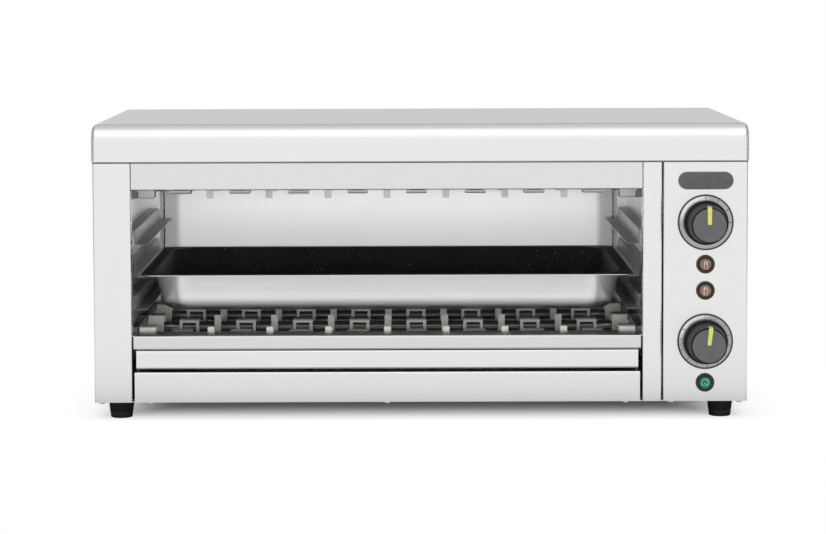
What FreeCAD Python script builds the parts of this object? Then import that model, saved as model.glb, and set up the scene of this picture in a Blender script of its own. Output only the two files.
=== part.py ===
import FreeCAD, Part
import math
import os

# Countertop salamander grill: a folded stainless casing with a rolled-front lid, an open cooking
# cavity with three rack levels and a GN 1/1 pan, three quartz tubes above and three below it, each
# behind a stamped guard, a pull-out crumb tray, and a control box with two knobs and three lamps.
# Millimetres. X is to the right, Y to the back, Z up. The origin is under the centre of the object.

V = FreeCAD.Vector

# Casing: sheet. Its outer sizes follow from the pan, the cavity and what lies round them.
casing_t = 1.0
bend_r = 1.0
return_d = 12.0
rear_flange_w = 15.0
rear_panel_inset = 1.5
sheet_fit = 0.05

# Lid: a cap that laps over the casing's walls
lid_h = 40.0
lid_t = 1.2
lid_lap = 14.0
lid_roll_r = 18.0
lid_rear_r = 8.0
lid_side_r = 5.0

# Front, from the left edge to the right edge. The opening lets the pan through with some play.
post_left_w = 40.4
opening_play = 6.5
post_right_w = 20.65
panel_gap = 1.3
control_panel_w = 89.65

# Front, from the underside to the header
lower_panel_h = 32.4
lower_panel_seam = 2.4
lower_gap = 3.2
drawer_h = 19.9
drawer_gap = 0.7
shelf_lip_h = 15.0
shelf_seam = 1.6
shelf_d = 40.0
shelf_rear_flange_h = 12.0
shelf_lower_return = 7.0
mouth_h = 155.4
header_h = 29.4
header_seam = 0.4

# Base tray under the casing
base_rim_h = 12.0
rim_relief_w = 6.0
base_vent_count = 4
base_vent_pitch = 9.0
base_vent_l = 70.0
base_vent_w = 4.0

# Cavity lining
liner_t = 0.8
liner_behind_post = 9.0
liner_step_rear = 28.0
liner_below_tip = 13.0
cavity_rear_gap = 22.0
liner_rear_gap = 3.0
corner_slot_w = 3.5
rear_wall_below_tip = 35.0
ceiling_front_gap = 1.0
ceiling_lap = 8.0
trough_h = 6.0
trough_top_w = 30.0
trough_slope_w = 10.0

# Rack rails: three levels on each side
rail_pan_play = 3.9
rail_ledge_w = 12.8
rail_face_h = 15.0
rail_t = 0.8
rail_top_rise = 96.5
rail_pitch = 35.05
rail_level_count = 3
rail_front_d = 20.0
rail_rear_gap = 5.0
rail_tail_d = 15.0
rail_tail_rise = 3.0
rail_tail_low = 1.8
pan_level_index = 1

# Quartz elements: three rows above and three below
row_count = 3
row_first_d = 47.0
row_pitch = 106.0
lower_tip_rise = 3.8
upper_tip_drop = 12.4
tube_r = 5.5
tube_axis_below_tip = 14.0
cap_w = 14.0
cap_len = 17.0
cap_socket = 6.0
cap_socket_fit = 0.1

# Guards: one stamped strip of straps and tabs over each tube
guard_h = 23.0
guard_d = 23.0
guard_t = 1.0
guard_pitch = 63.5
guard_tab_count = 7
guard_tab_w = 7.5
strap_w = 22.0
strap_bar = 3.5
strap_below_tip = 5.0
end_cover_w = 17.4
end_cover_inset = 1.5

# Brackets that carry the tubes and the guards
bracket_behind_rail = 0.5
bracket_t = 1.0
reflector_gap = 5.0
bracket_end = 1.0

# Crumb tray and its runners
drawer_side_gap = 4.4
drawer_return = 8.0
tray_t = 0.8
tray_inset = 5.1
tray_rear_gap = 18.0
tray_wall_h = 13.0
runner_t = 1.0
runner_side_gap = 4.0
runner_ledge_w = 12.0
runner_foot_w = 12.0
runner_front_d = 14.0
runner_rear_gap = 8.0
slide_gap = 0.3

# Pan: GN 1/1, 40 mm deep
pan_l = 530.0
pan_w = 325.0
pan_h = 40.0
pan_t = 0.9
pan_flange_r = 16.0
pan_flange_w = 12.5
pan_draft = 9.0
pan_corner_r = 42.0
pan_floor_r = 12.0
pan_front_d = 20.0
pan_rear_gap = 3.0

# Controls, one above the other: power lamp, timer, two lamps, selector and the oval plate.
# The gaps from the panel's lower edge to the lid stay in this proportion on a higher panel.
control_gaps = (10.05, 4.3, 14.7, 8.1, 4.9, 5.0, 10.75)
badge_w = 59.5
badge_h = 19.5
badge_t = 1.2
dial_r = 29.75
dial_t = 1.0
dial_hole_r = 6.0
dial_side_count = 64
dial_hole_side_count = 16
knob_skirt_r = 23.4
knob_skirt_h = 9.0
knob_grip_r = 21.3
knob_cap_r = 18.9
knob_side_count = 24
knob_len = 39.0
knob_gap = 0.6
knob_bore_len = 22.0
pointer_w = 4.7
pointer_raise = 0.4
pointer_side_len = 9.0
pointer_tail = 0.6
timer_rest_deg = 6.5
shaft_r = 3.0
shaft_fit = 0.05
shaft_socket = 18.0
shaft_end_gap = 0.5
shaft_hole_r = 5.0
switch_w = 43.0
switch_d = 46.0
switch_deck_count = 3
switch_groove = 2.0
timer_plate_w = 58.0
timer_plate_t = 2.0
timer_case_w = 48.0
timer_case_d = 34.0
tag_w = 6.3
tag_t = 0.8
tag_len = 9.0
tag_pitch = 14.0

# Pilot lamps
lamp_r = 9.95
lamp_bezel_h = 2.2
lens_r = 8.3
lens_rise = 3.6
lens_top_r = 3.4
lens_side_count = 12
bezel_side_count = 32

# Rear entry for the supply cord, height from the casing's underside
gland_z = 42.0
gland_bore_r = 4.5
gland_neck_r = 7.9
gland_fit = 0.1
gland_flats = 22.0
gland_hex_h = 5.0
gland_cap_r = 9.5
gland_cap_side_count = 12
gland_out = 16.0
gland_in = 6.0
block_w = 58.0
block_d = 20.0
block_h = 18.0
block_way_count = 5
block_rib_t = 1.6
block_way_depth = 6.0
block_rear_gap = 70.0

# Ventilation slots in the back panel
vent_count = 6
vent_pitch = 11.0
vent_l = 44.0
vent_w = 4.0
vent_z = 178.0

# Feet and screws
foot_h = 20.0
foot_top_r = 14.0
foot_low_r = 11.6
foot_side_count = 24
foot_recess_flats = 12.0
foot_recess_h = 11.0
foot_side_inset = 25.5
foot_front_inset = 32.0
foot_rear_inset = 40.0
foot_screw_flats = 8.0
foot_screw_head_h = 3.5
screw_flats = 7.0
screw_head_h = 2.4
screw_edge_inset = 7.4
base_screw_inset = 7.0
base_screw_row_inset = 59.4
rear_screw_low = 30.0
rear_screw_pitch = 196.0
rear_screw_count = 2
lid_screw_pitch = 500.0
lid_screw_count = 2

# Places that follow from the sizes above
opening_w = pan_l + 2 * opening_play
rail_face_half = pan_l / 2 + rail_pan_play
bracket_half = rail_face_half + bracket_behind_rail
liner_half = opening_w / 2 + liner_behind_post
cavity_d = pan_front_d + pan_w + pan_rear_gap
body_w = post_left_w + opening_w + post_right_w + panel_gap + control_panel_w
body_d = cavity_d + cavity_rear_gap
stack_h = lower_panel_h + lower_gap + drawer_h + drawer_gap + shelf_lip_h
body_h = stack_h + mouth_h + header_h
reach_front = dial_t + knob_gap + knob_len + pointer_raise
y_front = reach_front - (reach_front + body_d + gland_out) / 2
y_rear = y_front + body_d
y_flange = y_rear - casing_t
x_left = -body_w / 2
x_right = body_w / 2
x_open_l = x_left + post_left_w
x_open_r = x_open_l + opening_w
x_post_r = x_open_r + post_right_w
x_panel = x_post_r + panel_gap
x_mid = (x_open_l + x_open_r) / 2
x_ctrl = (x_panel + x_right) / 2
z_base = foot_h
z_floor = z_base + casing_t
z_casing = z_base + body_h
z_wall_top = z_casing + lid_lap
z_lower_top = z_base + lower_panel_h
z_drawer = z_lower_top + lower_gap
z_drawer_top = z_drawer + drawer_h
z_shelf = z_drawer_top + drawer_gap
z_shelf_top = z_shelf + shelf_lip_h
z_header = z_shelf_top + mouth_h
z_tip_low = z_shelf_top + lower_tip_rise
z_tip_up = z_header - upper_tip_drop
z_ceiling = z_tip_up + guard_h + reflector_gap
y_cavity_rear = y_front + cavity_d
y_liner_rear = y_cavity_rear - liner_rear_gap
z_rail_top = z_shelf_top + rail_top_rise
rows_y = [y_front + row_first_d + i * row_pitch for i in range(row_count)]


def control_heights():
    """The controls' centres above the casing's underside, from the power lamp upwards."""
    halves = [lamp_r, dial_r, lamp_r, lamp_r, dial_r, badge_h / 2]
    share = (body_h - 2 * sum(halves)) / sum(control_gaps)
    heights, reached = [], 0.0
    for gap, half in zip(control_gaps, halves):
        heights.append(reached + gap * share + half)
        reached = heights[-1] + half
    return heights


lamp_power_z, timer_z, lamp_lower_z, lamp_upper_z, selector_z, badge_z = control_heights()


# Plain solids

def block(x0, x1, y0, y1, z0, z1):
    return Part.makeBox(x1 - x0, y1 - y0, z1 - z0, V(x0, y0, z0))


def rod(radius, start, end):
    """A round bar between two points."""
    run = end.sub(start)
    return Part.makeCylinder(radius, run.Length, start, run)


def faceted(sides, stations, start, direction):
    """A many-sided bar or taper. Stations are two pairs: distance to a flat, distance along."""
    loops = []
    for to_flat, along in stations:
        corner_r = to_flat / math.cos(math.pi / sides)
        angles = [math.pi / sides * (2 * i + 1) for i in range(sides)]
        loops.append([V(corner_r * math.cos(a), corner_r * math.sin(a), along) for a in angles])
    near, far = loops
    flats = [[near[i - 1], near[i], far[i], far[i - 1]] for i in range(sides)]
    faces = [Part.Face(Part.makePolygon(loop + loop[:1])) for loop in flats + [near, far]]
    solid = Part.makeSolid(Part.makeShell(faces))
    solid.Placement = FreeCAD.Placement(start, FreeCAD.Rotation(V(0, 0, 1), direction))
    return solid


def hexagon(flats, start, direction, length):
    """A six-sided bar of the given width across its flats."""
    return faceted(6, [(flats / 2, 0), (flats / 2, length)], start, direction)


def mirrored(shape):
    """The same piece on the other side of the cavity."""
    return shape.mirror(V(x_mid, 0, 0), V(1, 0, 0))


def joined(shapes):
    """One solid out of pieces that touch or overlap."""
    return shapes[0].fuse(shapes[1:]).removeSplitter()


# Outlines and folded sheet

def rounded_wire(points, radii, to_space):
    """A closed wire through 2D points, with an arc of the given radius at each corner."""
    count = len(points)
    starts, ends, middles = [], [], []
    for i, (point, radius) in enumerate(zip(points, radii)):
        here = V(point[0], point[1], 0)
        before = V(*points[i - 1], 0).sub(here).normalize()
        after = V(*points[(i + 1) % count], 0).sub(here).normalize()
        if radius <= 0:
            starts.append(here)
            ends.append(here)
            middles.append(None)
            continue
        half = before.getAngle(after) / 2
        run = radius / math.tan(half)
        bisector = before.add(after).normalize()
        centre = here.add(bisector * (radius / math.sin(half)))
        starts.append(here.add(before * run))
        ends.append(here.add(after * run))
        middles.append(centre.sub(bisector * radius))
    edges = []
    for i in range(count):
        if middles[i] is not None:
            arc = Part.Arc(to_space(starts[i]), to_space(middles[i]), to_space(ends[i]))
            edges.append(arc.toShape())
        line_end = starts[(i + 1) % count]
        if ends[i].sub(line_end).Length > 1e-6:
            edges.append(Part.LineSegment(to_space(ends[i]), to_space(line_end)).toShape())
    return Part.Wire(edges)


def prism(points, plane, start, end, radii=()):
    """A solid of one outline in the XY, YZ or XZ plane, between two places on the third axis.
    Radii are the outline's corners one by one, and the rest are sharp."""
    spaces = {
        "xy": (lambda p: V(p.x, p.y, start), V(0, 0, end - start)),
        "yz": (lambda p: V(start, p.x, p.y), V(end - start, 0, 0)),
        "xz": (lambda p: V(p.x, start, p.y), V(0, end - start, 0)),
    }
    to_space, run = spaces[plane]
    corners = list(radii) + [0.0] * (len(points) - len(radii))
    return Part.Face(rounded_wire(points, corners, to_space)).extrude(run)


def rounded_plate(x0, x1, y0, y1, radius, z0, z1):
    corners = [(x0, y0), (x1, y0), (x1, y1), (x0, y1)]
    return prism(corners, "xy", z0, z1, [radius] * len(corners))


def folded(path, thickness, side, plane, start, end, bends=()):
    """Sheet folded along a path. The path is one face of the sheet, and the metal lies to its
    left (side 1) or right (side -1). Bends are the folds' inner radii, and the rest are sharp."""
    points = [V(a, b, 0) for a, b in path]
    runs = [points[i + 1].sub(points[i]).normalize() for i in range(len(points) - 1)]
    normals = [V(-run.y * side, run.x * side, 0) for run in runs]
    radii = list(bends) + [0.0] * (len(points) - 2 - len(bends))
    offset = [points[0].add(normals[0] * thickness)]
    near_r, far_r = [0.0], [0.0]
    for i, radius in enumerate(radii, 1):
        bisector = normals[i - 1].add(normals[i]).normalize()
        reach = thickness / bisector.dot(normals[i])
        offset.append(points[i].add(bisector * reach))
        turn = runs[i - 1].cross(runs[i]).z * side
        outer_r = radius + thickness if radius > 0 else 0.0
        near_r.append(outer_r if turn > 0 else radius)
        far_r.append(radius if turn > 0 else outer_r)
    offset.append(points[-1].add(normals[-1] * thickness))
    near_r.append(0.0)
    far_r.append(0.0)
    outline = [(p.x, p.y) for p in points + offset[::-1]]
    return prism(outline, plane, start, end, near_r + far_r[::-1])


# Places of screws and feet

def base_screw_places():
    """Under the front edge of the base from the left to the right, and at its rear corners."""
    xs = [x_left + screw_edge_inset, x_left + base_screw_row_inset, x_mid,
          x_open_r - rim_relief_w - screw_edge_inset * 1.5, x_panel + rim_relief_w + screw_flats / 2,
          x_right - screw_edge_inset]
    front = [(x, y_front + base_screw_inset) for x in xs]
    return front + [(x, y_flange - base_screw_inset) for x in (xs[0], xs[-1])]


def rear_screw_places():
    """On the back panel, along both side flanges and the divider's flange."""
    xs = [x_left + rear_flange_w / 2 + casing_t, x_post_r - rear_flange_w / 2,
          x_right - rear_flange_w / 2 - casing_t]
    return [(x, z_base + rear_screw_low + i * rear_screw_pitch)
            for x in xs for i in range(rear_screw_count)]


def lid_screw_places():
    middle = (lid_screw_count - 1) / 2
    return [((i - middle) * lid_screw_pitch, z_casing + lid_lap / 2) for i in range(lid_screw_count)]


def foot_places():
    xs = [x_left + foot_side_inset, x_right - foot_side_inset]
    ys = [y_front + foot_front_inset, y_rear - foot_rear_inset]
    return [(x, y) for y in ys for x in xs]


# Casing

def lid_form(inset):
    """The lid's form over its whole length, and the edges round its two ends."""
    front = y_front - lid_t + inset
    rear = y_rear + lid_t - inset
    top = z_casing + lid_h - inset
    half = body_w / 2 + lid_t - inset
    points = [(front, z_casing), (rear, z_casing), (rear, top), (front, top)]
    radii = [0.0, 0.0, lid_rear_r - inset, lid_roll_r - inset]
    form = prism(points, "yz", -half, half, radii)
    ends = [e for e in form.Edges
            if abs(abs(e.CenterOfMass.x) - half) < 1e-6 and e.CenterOfMass.z > z_casing + 1e-6]
    return form, ends


def make_lid():
    """A cap of one folded sheet: rolled front edge, plain fascia, skirts round all four sides."""
    outer, outer_ends = lid_form(0.0)
    inner, inner_ends = lid_form(lid_t)
    # Inside, a bevel follows each rounded end edge at the sheet's thickness.
    bevel = (2 - math.sqrt(2)) * (lid_side_r - lid_t)
    return outer.makeFillet(lid_side_r, outer_ends).cut(inner.makeChamfer(bevel, inner_ends))


def lap_reliefs():
    """The casing's four corners are relieved where the lid's rounded corners lap over them."""
    return [block(min(x, x + dx), max(x, x + dx), min(y, y + dy), max(y, y + dy), z_casing,
                  z_wall_top + casing_t)
            for x, dx in ((x_left, lid_side_r), (x_right, -lid_side_r))
            for y, dy in ((y_front, lid_side_r), (y_rear, -lid_side_r))]


def base_notch(x0, x1, y1):
    """The relief that lets a folded return stand over the base tray's rim."""
    return block(x0, x1, y_front + casing_t, y1, z_base - casing_t, z_base + base_rim_h + casing_t)


def make_side_panel_left():
    """Left wall, with the wide front post and its return, and a rear flange for the back panel."""
    path = [(x_open_l, y_front + return_d), (x_open_l, y_front), (x_left, y_front),
            (x_left, y_flange), (x_left + rear_flange_w, y_flange)]
    wall = folded(path, casing_t, -1, "xy", z_base, z_wall_top, (bend_r, bend_r))
    notch = base_notch(x_left + casing_t, x_open_l + casing_t, y_front + 2 * return_d)
    flange = block(x_left + casing_t, x_left + rear_flange_w, y_front + 2 * return_d,
                   y_flange - 2 * return_d, z_wall_top - casing_t, z_wall_top)
    return joined([wall.cut([notch] + lap_reliefs()), flange])


def make_side_panel_right():
    """Right wall, behind the control panel's return, with flanges at the front and back."""
    path = [(x_right - return_d, y_front + return_d), (x_right, y_front + return_d),
            (x_right, y_flange), (x_right - rear_flange_w, y_flange)]
    wall = folded(path, casing_t, 1, "xy", z_base, z_wall_top)
    notch = base_notch(x_right - 2 * return_d, x_right - casing_t, y_front + 2 * return_d)
    flange = block(x_right - rear_flange_w, x_right - casing_t, y_front + 2 * return_d,
                   y_flange - 2 * return_d, z_wall_top - casing_t, z_wall_top)
    return joined([wall.cut([notch] + lap_reliefs()), flange])


def make_divider_wall():
    """The wall between the cavity and the control box. Its front is the narrow right post."""
    path = [(x_open_r, y_front + return_d), (x_open_r, y_front), (x_post_r, y_front),
            (x_post_r, y_flange), (x_post_r - rear_flange_w, y_flange)]
    wall = folded(path, casing_t, 1, "xy", z_base, z_wall_top, (bend_r, bend_r))
    notch = base_notch(x_open_r - casing_t, x_post_r + casing_t, y_front + 2 * return_d)
    over_floor = block(x_open_r, x_post_r + casing_t, y_front + casing_t, y_flange - casing_t,
                       z_base - casing_t, z_floor)
    over_rim = block(x_post_r - 2 * rear_flange_w, x_post_r + casing_t, y_flange - 3 * casing_t,
                     y_flange - casing_t, z_base - casing_t, z_base + base_rim_h + casing_t)
    return wall.cut([notch, over_floor, over_rim])


def make_control_panel():
    """The front of the control box: a plate with two returns, and holes for the shafts."""
    path = [(x_panel, y_front + return_d), (x_panel, y_front), (x_right, y_front),
            (x_right, y_front + return_d)]
    plate = folded(path, casing_t, 1, "xy", z_base, z_wall_top, (bend_r, bend_r))
    notch = base_notch(x_panel - casing_t, x_right - casing_t, y_front + 2 * return_d)
    drills = [rod(shaft_hole_r, V(x_ctrl, y_front - casing_t, z_base + z),
                  V(x_ctrl, y_front + 2 * casing_t, z_base + z)) for z in (selector_z, timer_z)]
    return plate.cut([notch] + drills + lap_reliefs())


def make_back_panel():
    """A flat plate screwed to the rear flanges, with slots that cool the control box."""
    plate = block(x_left + rear_panel_inset, x_right - rear_panel_inset, y_flange, y_rear,
                  z_base, z_wall_top)
    middle = (vent_count - 1) / 2
    z_vent = z_base + vent_z
    cuts = []
    for i in range(vent_count):
        x = x_ctrl + (i - middle) * vent_pitch
        cuts.append(block(x - vent_w / 2, x + vent_w / 2, y_flange - casing_t, y_rear + casing_t,
                          z_vent - vent_l / 2, z_vent + vent_l / 2))
    cuts.append(rod(gland_neck_r + gland_fit, V(x_ctrl, y_flange - casing_t, z_base + gland_z),
                    V(x_ctrl, y_rear + casing_t, z_base + gland_z)))
    return plate.cut(cuts + lap_reliefs())


def make_base_plate():
    """A shallow tray under the casing, with open corners, reliefs in its front rim and vents."""
    x0, x1 = x_left + casing_t, x_right - casing_t
    y0, y1 = y_front + casing_t, y_flange - casing_t
    corner = bend_r + casing_t
    plan = block(x0, x1, y0 + corner, y1 - corner, z_base, z_base + base_rim_h)
    plan = plan.fuse(block(x0 + corner, x1 - corner, y0, y1, z_base, z_base + base_rim_h))
    inside = block(x0 + casing_t, x1 - casing_t, y0 + casing_t, y1 - casing_t, z_floor,
                   z_base + 2 * base_rim_h)
    cuts = [inside]
    for x in (x_open_l, x_open_r, x_panel):
        cuts.append(block(x - rim_relief_w, x + rim_relief_w, y0 - casing_t, y0 + 2 * casing_t,
                          z_floor, z_base + 2 * base_rim_h))
    middle = (base_vent_count - 1) / 2
    y_vent = (y_front + y_rear) / 2
    for i in range(base_vent_count):
        x = x_ctrl + (i - middle) * base_vent_pitch
        cuts.append(block(x - base_vent_w / 2, x + base_vent_w / 2, y_vent - base_vent_l / 2,
                          y_vent + base_vent_l / 2, z_base - casing_t, z_floor + casing_t))
    return plan.removeSplitter().cut(cuts)


def make_header_strip():
    """The strip above the cavity's mouth, folded back at its lower edge."""
    path = [(y_front + return_d, z_header), (y_front, z_header), (y_front, z_wall_top),
            (y_front + return_d, z_wall_top)]
    return folded(path, casing_t, -1, "yz", x_open_l + header_seam, x_open_r - header_seam, (bend_r,))


def make_front_shelf():
    """The lip and shelf in front of the lower elements. Its top reaches the posts' returns."""
    lip_path = [(y_front + shelf_lower_return, z_shelf), (y_front, z_shelf),
                (y_front, z_shelf_top), (y_front + shelf_d, z_shelf_top),
                (y_front + shelf_d, z_shelf_top - shelf_rear_flange_h)]
    lip = folded(lip_path, casing_t, -1, "yz", x_open_l + shelf_seam, x_open_r - shelf_seam,
                 (bend_r, bend_r))
    top = block(x_open_l + sheet_fit, x_open_r - sheet_fit, y_front + 2 * bend_r + casing_t,
                y_front + shelf_d, z_shelf_top - casing_t, z_shelf_top)
    return joined([lip, top])


def make_lower_front_panel():
    path = [(y_front + return_d, z_lower_top), (y_front, z_lower_top), (y_front, z_base)]
    return folded(path, casing_t, 1, "yz", x_open_l + lower_panel_seam,
                  x_open_r - lower_panel_seam, (bend_r,))


# Cavity lining and racks

def make_side_liner():
    """The left wall of the cavity. Near the back it steps inwards to the plane of the rails."""
    y_step = y_cavity_rear - liner_step_rear
    x_wall, x_face = x_mid - liner_half, x_mid - rail_face_half
    path = [(x_open_l, y_front + return_d + liner_t), (x_wall, y_front + return_d + liner_t),
            (x_wall, y_step), (x_face, y_step), (x_face, y_liner_rear)]
    return folded(path, liner_t, 1, "xy", z_tip_low - liner_below_tip, z_ceiling)


def make_rack_rail(level):
    """A left rail: a ledge for the pan's flange, a face above it, and a strip back to the wall."""
    z = z_rail_top - level * rail_pitch
    x_wall, x_face = x_mid - liner_half, x_mid - rail_face_half
    y0, y1 = y_front + rail_front_d, y_cavity_rear - rail_rear_gap
    path = [(x_wall, z + rail_face_h), (x_face, z + rail_face_h), (x_face, z),
            (x_face + rail_ledge_w, z)]
    rail = folded(path, rail_t, -1, "xz", y0, y1)
    y_step = y_cavity_rear - liner_step_rear
    behind_step = block(x_wall - rail_t, x_face, y_step, y1 + rail_t, z - 2 * rail_t,
                        z + 2 * rail_face_h)
    tail = [(y_step - rail_tail_d, z + rail_face_h + rail_t), (y1 + rail_t, z + rail_face_h + rail_t),
            (y1 + rail_t, z + rail_tail_low), (y_step, z + rail_tail_low),
            (y_step, z + rail_tail_rise), (y_step - rail_tail_d, z + rail_face_h)]
    wedge = prism(tail, "yz", x_wall - rail_t, x_face + rail_ledge_w)
    return rail.cut([behind_step, wedge])


def make_rack_rails():
    return Part.makeCompound([make_rack_rail(level) for level in range(rail_level_count)])


def make_cavity_rear_wall():
    """The bright rear wall. A slot at each side leaves it free of the side liners."""
    half = rail_face_half - corner_slot_w
    z_low = z_tip_low - rear_wall_below_tip
    path = [(y_flange, z_ceiling), (y_cavity_rear, z_ceiling), (y_cavity_rear, z_low),
            (y_flange, z_low)]
    return folded(path, liner_t, 1, "yz", x_mid - half, x_mid + half)


def make_reflector():
    """The cavity's ceiling: polished sheet with a trough over each tube."""
    path = [(y_front + return_d + ceiling_front_gap, z_ceiling)]
    for y_row in rows_y:
        centre = y_row + guard_d / 2
        half_top = trough_top_w / 2
        half_foot = half_top + trough_slope_w
        path += [(centre - half_foot, z_ceiling), (centre - half_top, z_ceiling + trough_h),
                 (centre + half_top, z_ceiling + trough_h), (centre + half_foot, z_ceiling)]
    path.append((y_cavity_rear + ceiling_lap, z_ceiling))
    half = liner_half + liner_t
    return folded(path, liner_t, 1, "yz", x_mid - half, x_mid + half)


# Elements and guards, made for the lower set and turned over for the upper one

def strap(x, width, tip_gap):
    """A bridge of sheet over the tube, in front of it, over it and behind it."""
    y0, y1 = rows_y[0], rows_y[0] + guard_d
    z_foot = z_tip_low - guard_h
    z_head = z_tip_low - tip_gap
    path = [(y0, z_foot), (y0, z_head), (y1, z_head), (y1, z_foot)]
    return folded(path, guard_t, -1, "yz", x - width / 2, x + width / 2)


def framed_strap(x):
    """A strap with a window that leaves a narrow frame in front of the tube."""
    z_foot = z_tip_low - guard_h
    z_head = z_tip_low - strap_below_tip
    half = strap_w / 2 - strap_bar
    window = block(x - half, x + half, rows_y[0] - guard_t, rows_y[0] + 2 * guard_t,
                   z_foot + guard_t, z_head - strap_bar)
    return strap(x, strap_w, strap_below_tip).cut(window)


def guard_tab(x):
    half = guard_tab_w / 2
    return block(x - half, x + half, rows_y[0], rows_y[0] + guard_t, z_tip_low - guard_h, z_tip_low)


def make_guard():
    """The front lower guard: a base strip, upright tabs on its front and straps between them."""
    y0, y1 = rows_y[0], rows_y[0] + guard_d
    z_foot = z_tip_low - guard_h
    half_count = (guard_tab_count - 1) // 2
    columns = [x_mid + k * guard_pitch for k in range(-half_count, half_count + 1)]
    strap_columns = [columns[0] - guard_pitch / 2] + [x + guard_pitch / 2 for x in columns]
    cover_x = bracket_half - end_cover_inset - end_cover_w / 2
    pieces = [block(x_mid - bracket_half, x_mid + bracket_half, y0, y1, z_foot, z_foot + guard_t)]
    pieces += [guard_tab(x) for x in columns]
    pieces += [framed_strap(x) for x in strap_columns]
    pieces += [strap(x_mid + side * cover_x, end_cover_w, 0.0) for side in (-1, 1)]
    return joined(pieces)


def moved_row(shape, row):
    copy = shape.copy()
    copy.translate(V(0, rows_y[row] - rows_y[0], 0))
    return copy


def turned_over(shape):
    """The same piece hanging from the ceiling instead of standing on the floor."""
    return shape.mirror(V(0, 0, (z_tip_low + z_tip_up) / 2), V(0, 0, 1))


def tube_axis():
    return rows_y[0] + guard_d / 2, z_tip_low - tube_axis_below_tip


def make_quartz_tube():
    """A closed frosted tube between two end holders."""
    y, z = tube_axis()
    half = bracket_half - cap_len + cap_socket
    return rod(tube_r, V(x_mid - half, y, z), V(x_mid + half, y, z))


def make_tube_cap():
    """A square ceramic end holder on the left, with a blind socket for the tube."""
    y, z = tube_axis()
    x0 = x_mid - bracket_half
    half, socket = cap_w / 2, tube_r + cap_socket_fit
    body = block(x0, x0 + cap_len, y - half, y + half, z - half, z + half)
    return body.cut(block(x0 + cap_len - cap_socket, x0 + 2 * cap_len, y - socket, y + socket,
                          z - socket, z + socket))


def all_rows(shape):
    """Every place of one element piece: three rows, standing and hanging."""
    lower = [moved_row(shape, row) for row in range(row_count)]
    return lower + [turned_over(s) for s in lower]


def make_element_bracket():
    """The left lower bracket: an upright web that carries the tubes' holders, with flanges at its
    ends and a cross plate to the wall beside each inner row."""
    z1 = z_tip_low
    z0 = z1 - guard_h - reflector_gap
    x_wall, x_web = x_mid - liner_half, x_mid - bracket_half
    y0, y1 = rows_y[0] - bracket_end, rows_y[-1] + guard_d + bracket_end
    path = [(x_wall, y0), (x_web, y0), (x_web, y1), (x_wall, y1)]
    web = folded(path, bracket_t, 1, "xy", z0, z1)
    return joined([web] + [block(x_wall, x_web, y, y + bracket_t, z0, z1) for y in rows_y[1:]])


# Crumb tray and pan

def make_crumb_tray():
    """The drawer front with its folded edges, and the shallow tray behind it."""
    x0, x1 = x_open_l + drawer_side_gap, x_open_r - drawer_side_gap
    y_edge = y_front + casing_t + drawer_return
    path = [(y_edge, z_drawer_top), (y_front, z_drawer_top), (y_front, z_drawer), (y_edge, z_drawer)]
    front = folded(path, casing_t, 1, "yz", x0, x1, (bend_r, bend_r))
    y0, y1 = y_front + casing_t, y_cavity_rear - tray_rear_gap
    z0, z1 = z_drawer + casing_t, z_drawer + casing_t + tray_wall_h
    x0, x1 = x0 + tray_inset, x1 - tray_inset
    outer = block(x0, x1, y0, y1, z0, z1)
    inner = block(x0 + tray_t, x1 - tray_t, y0 + tray_t, y1 - tray_t, z0 + tray_t, z1 + tray_t)
    return joined([front, outer.cut(inner)])


def make_tray_runner():
    """The left runner: it stands on the base, and the tray's floor slides on its ledge."""
    x_web = x_open_l + drawer_side_gap + tray_inset - runner_side_gap
    z_ledge = z_drawer + casing_t - slide_gap
    path = [(x_web - runner_foot_w, z_floor), (x_web, z_floor), (x_web, z_ledge),
            (x_web + runner_ledge_w, z_ledge)]
    foot_and_web = folded(path[:3], runner_t, 1, "xz", y_front + runner_front_d,
                          y_cavity_rear - runner_rear_gap)
    ledge = block(x_web - runner_t, x_web + runner_ledge_w, y_front + runner_front_d,
                  y_cavity_rear - runner_rear_gap, z_ledge - runner_t, z_ledge)
    return joined([foot_and_web, ledge])


def pan_form(inset, top, floor):
    """The pan's drawn form, inset from its outside: drafted walls and round corners."""
    y_pan = y_front + pan_front_d + pan_w / 2
    half_x = pan_l / 2 - pan_flange_w - inset
    half_y = pan_w / 2 - pan_flange_w - inset
    radius = pan_corner_r - inset
    foot_x, foot_y, foot_r = half_x - pan_draft, half_y - pan_draft, radius - pan_draft
    side_x, side_y = half_x - radius, half_y - radius
    long_walls = [(y_pan - half_y, top), (y_pan - foot_y, floor), (y_pan + foot_y, floor),
                  (y_pan + half_y, top)]
    short_walls = [(x_mid - half_x, top), (x_mid - foot_x, floor), (x_mid + foot_x, floor),
                   (x_mid + half_x, top)]
    pieces = [prism(long_walls, "yz", x_mid - side_x, x_mid + side_x),
              prism(short_walls, "xz", y_pan - side_y, y_pan + side_y)]
    pieces += [Part.makeCone(foot_r, radius, top - floor, V(x_mid + a * side_x, y_pan + b * side_y, floor))
               for a in (-1, 1) for b in (-1, 1)]
    form = joined(pieces)
    return form, [e for e in form.Edges if abs(e.BoundBox.ZMax - floor) < 1e-6]


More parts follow.
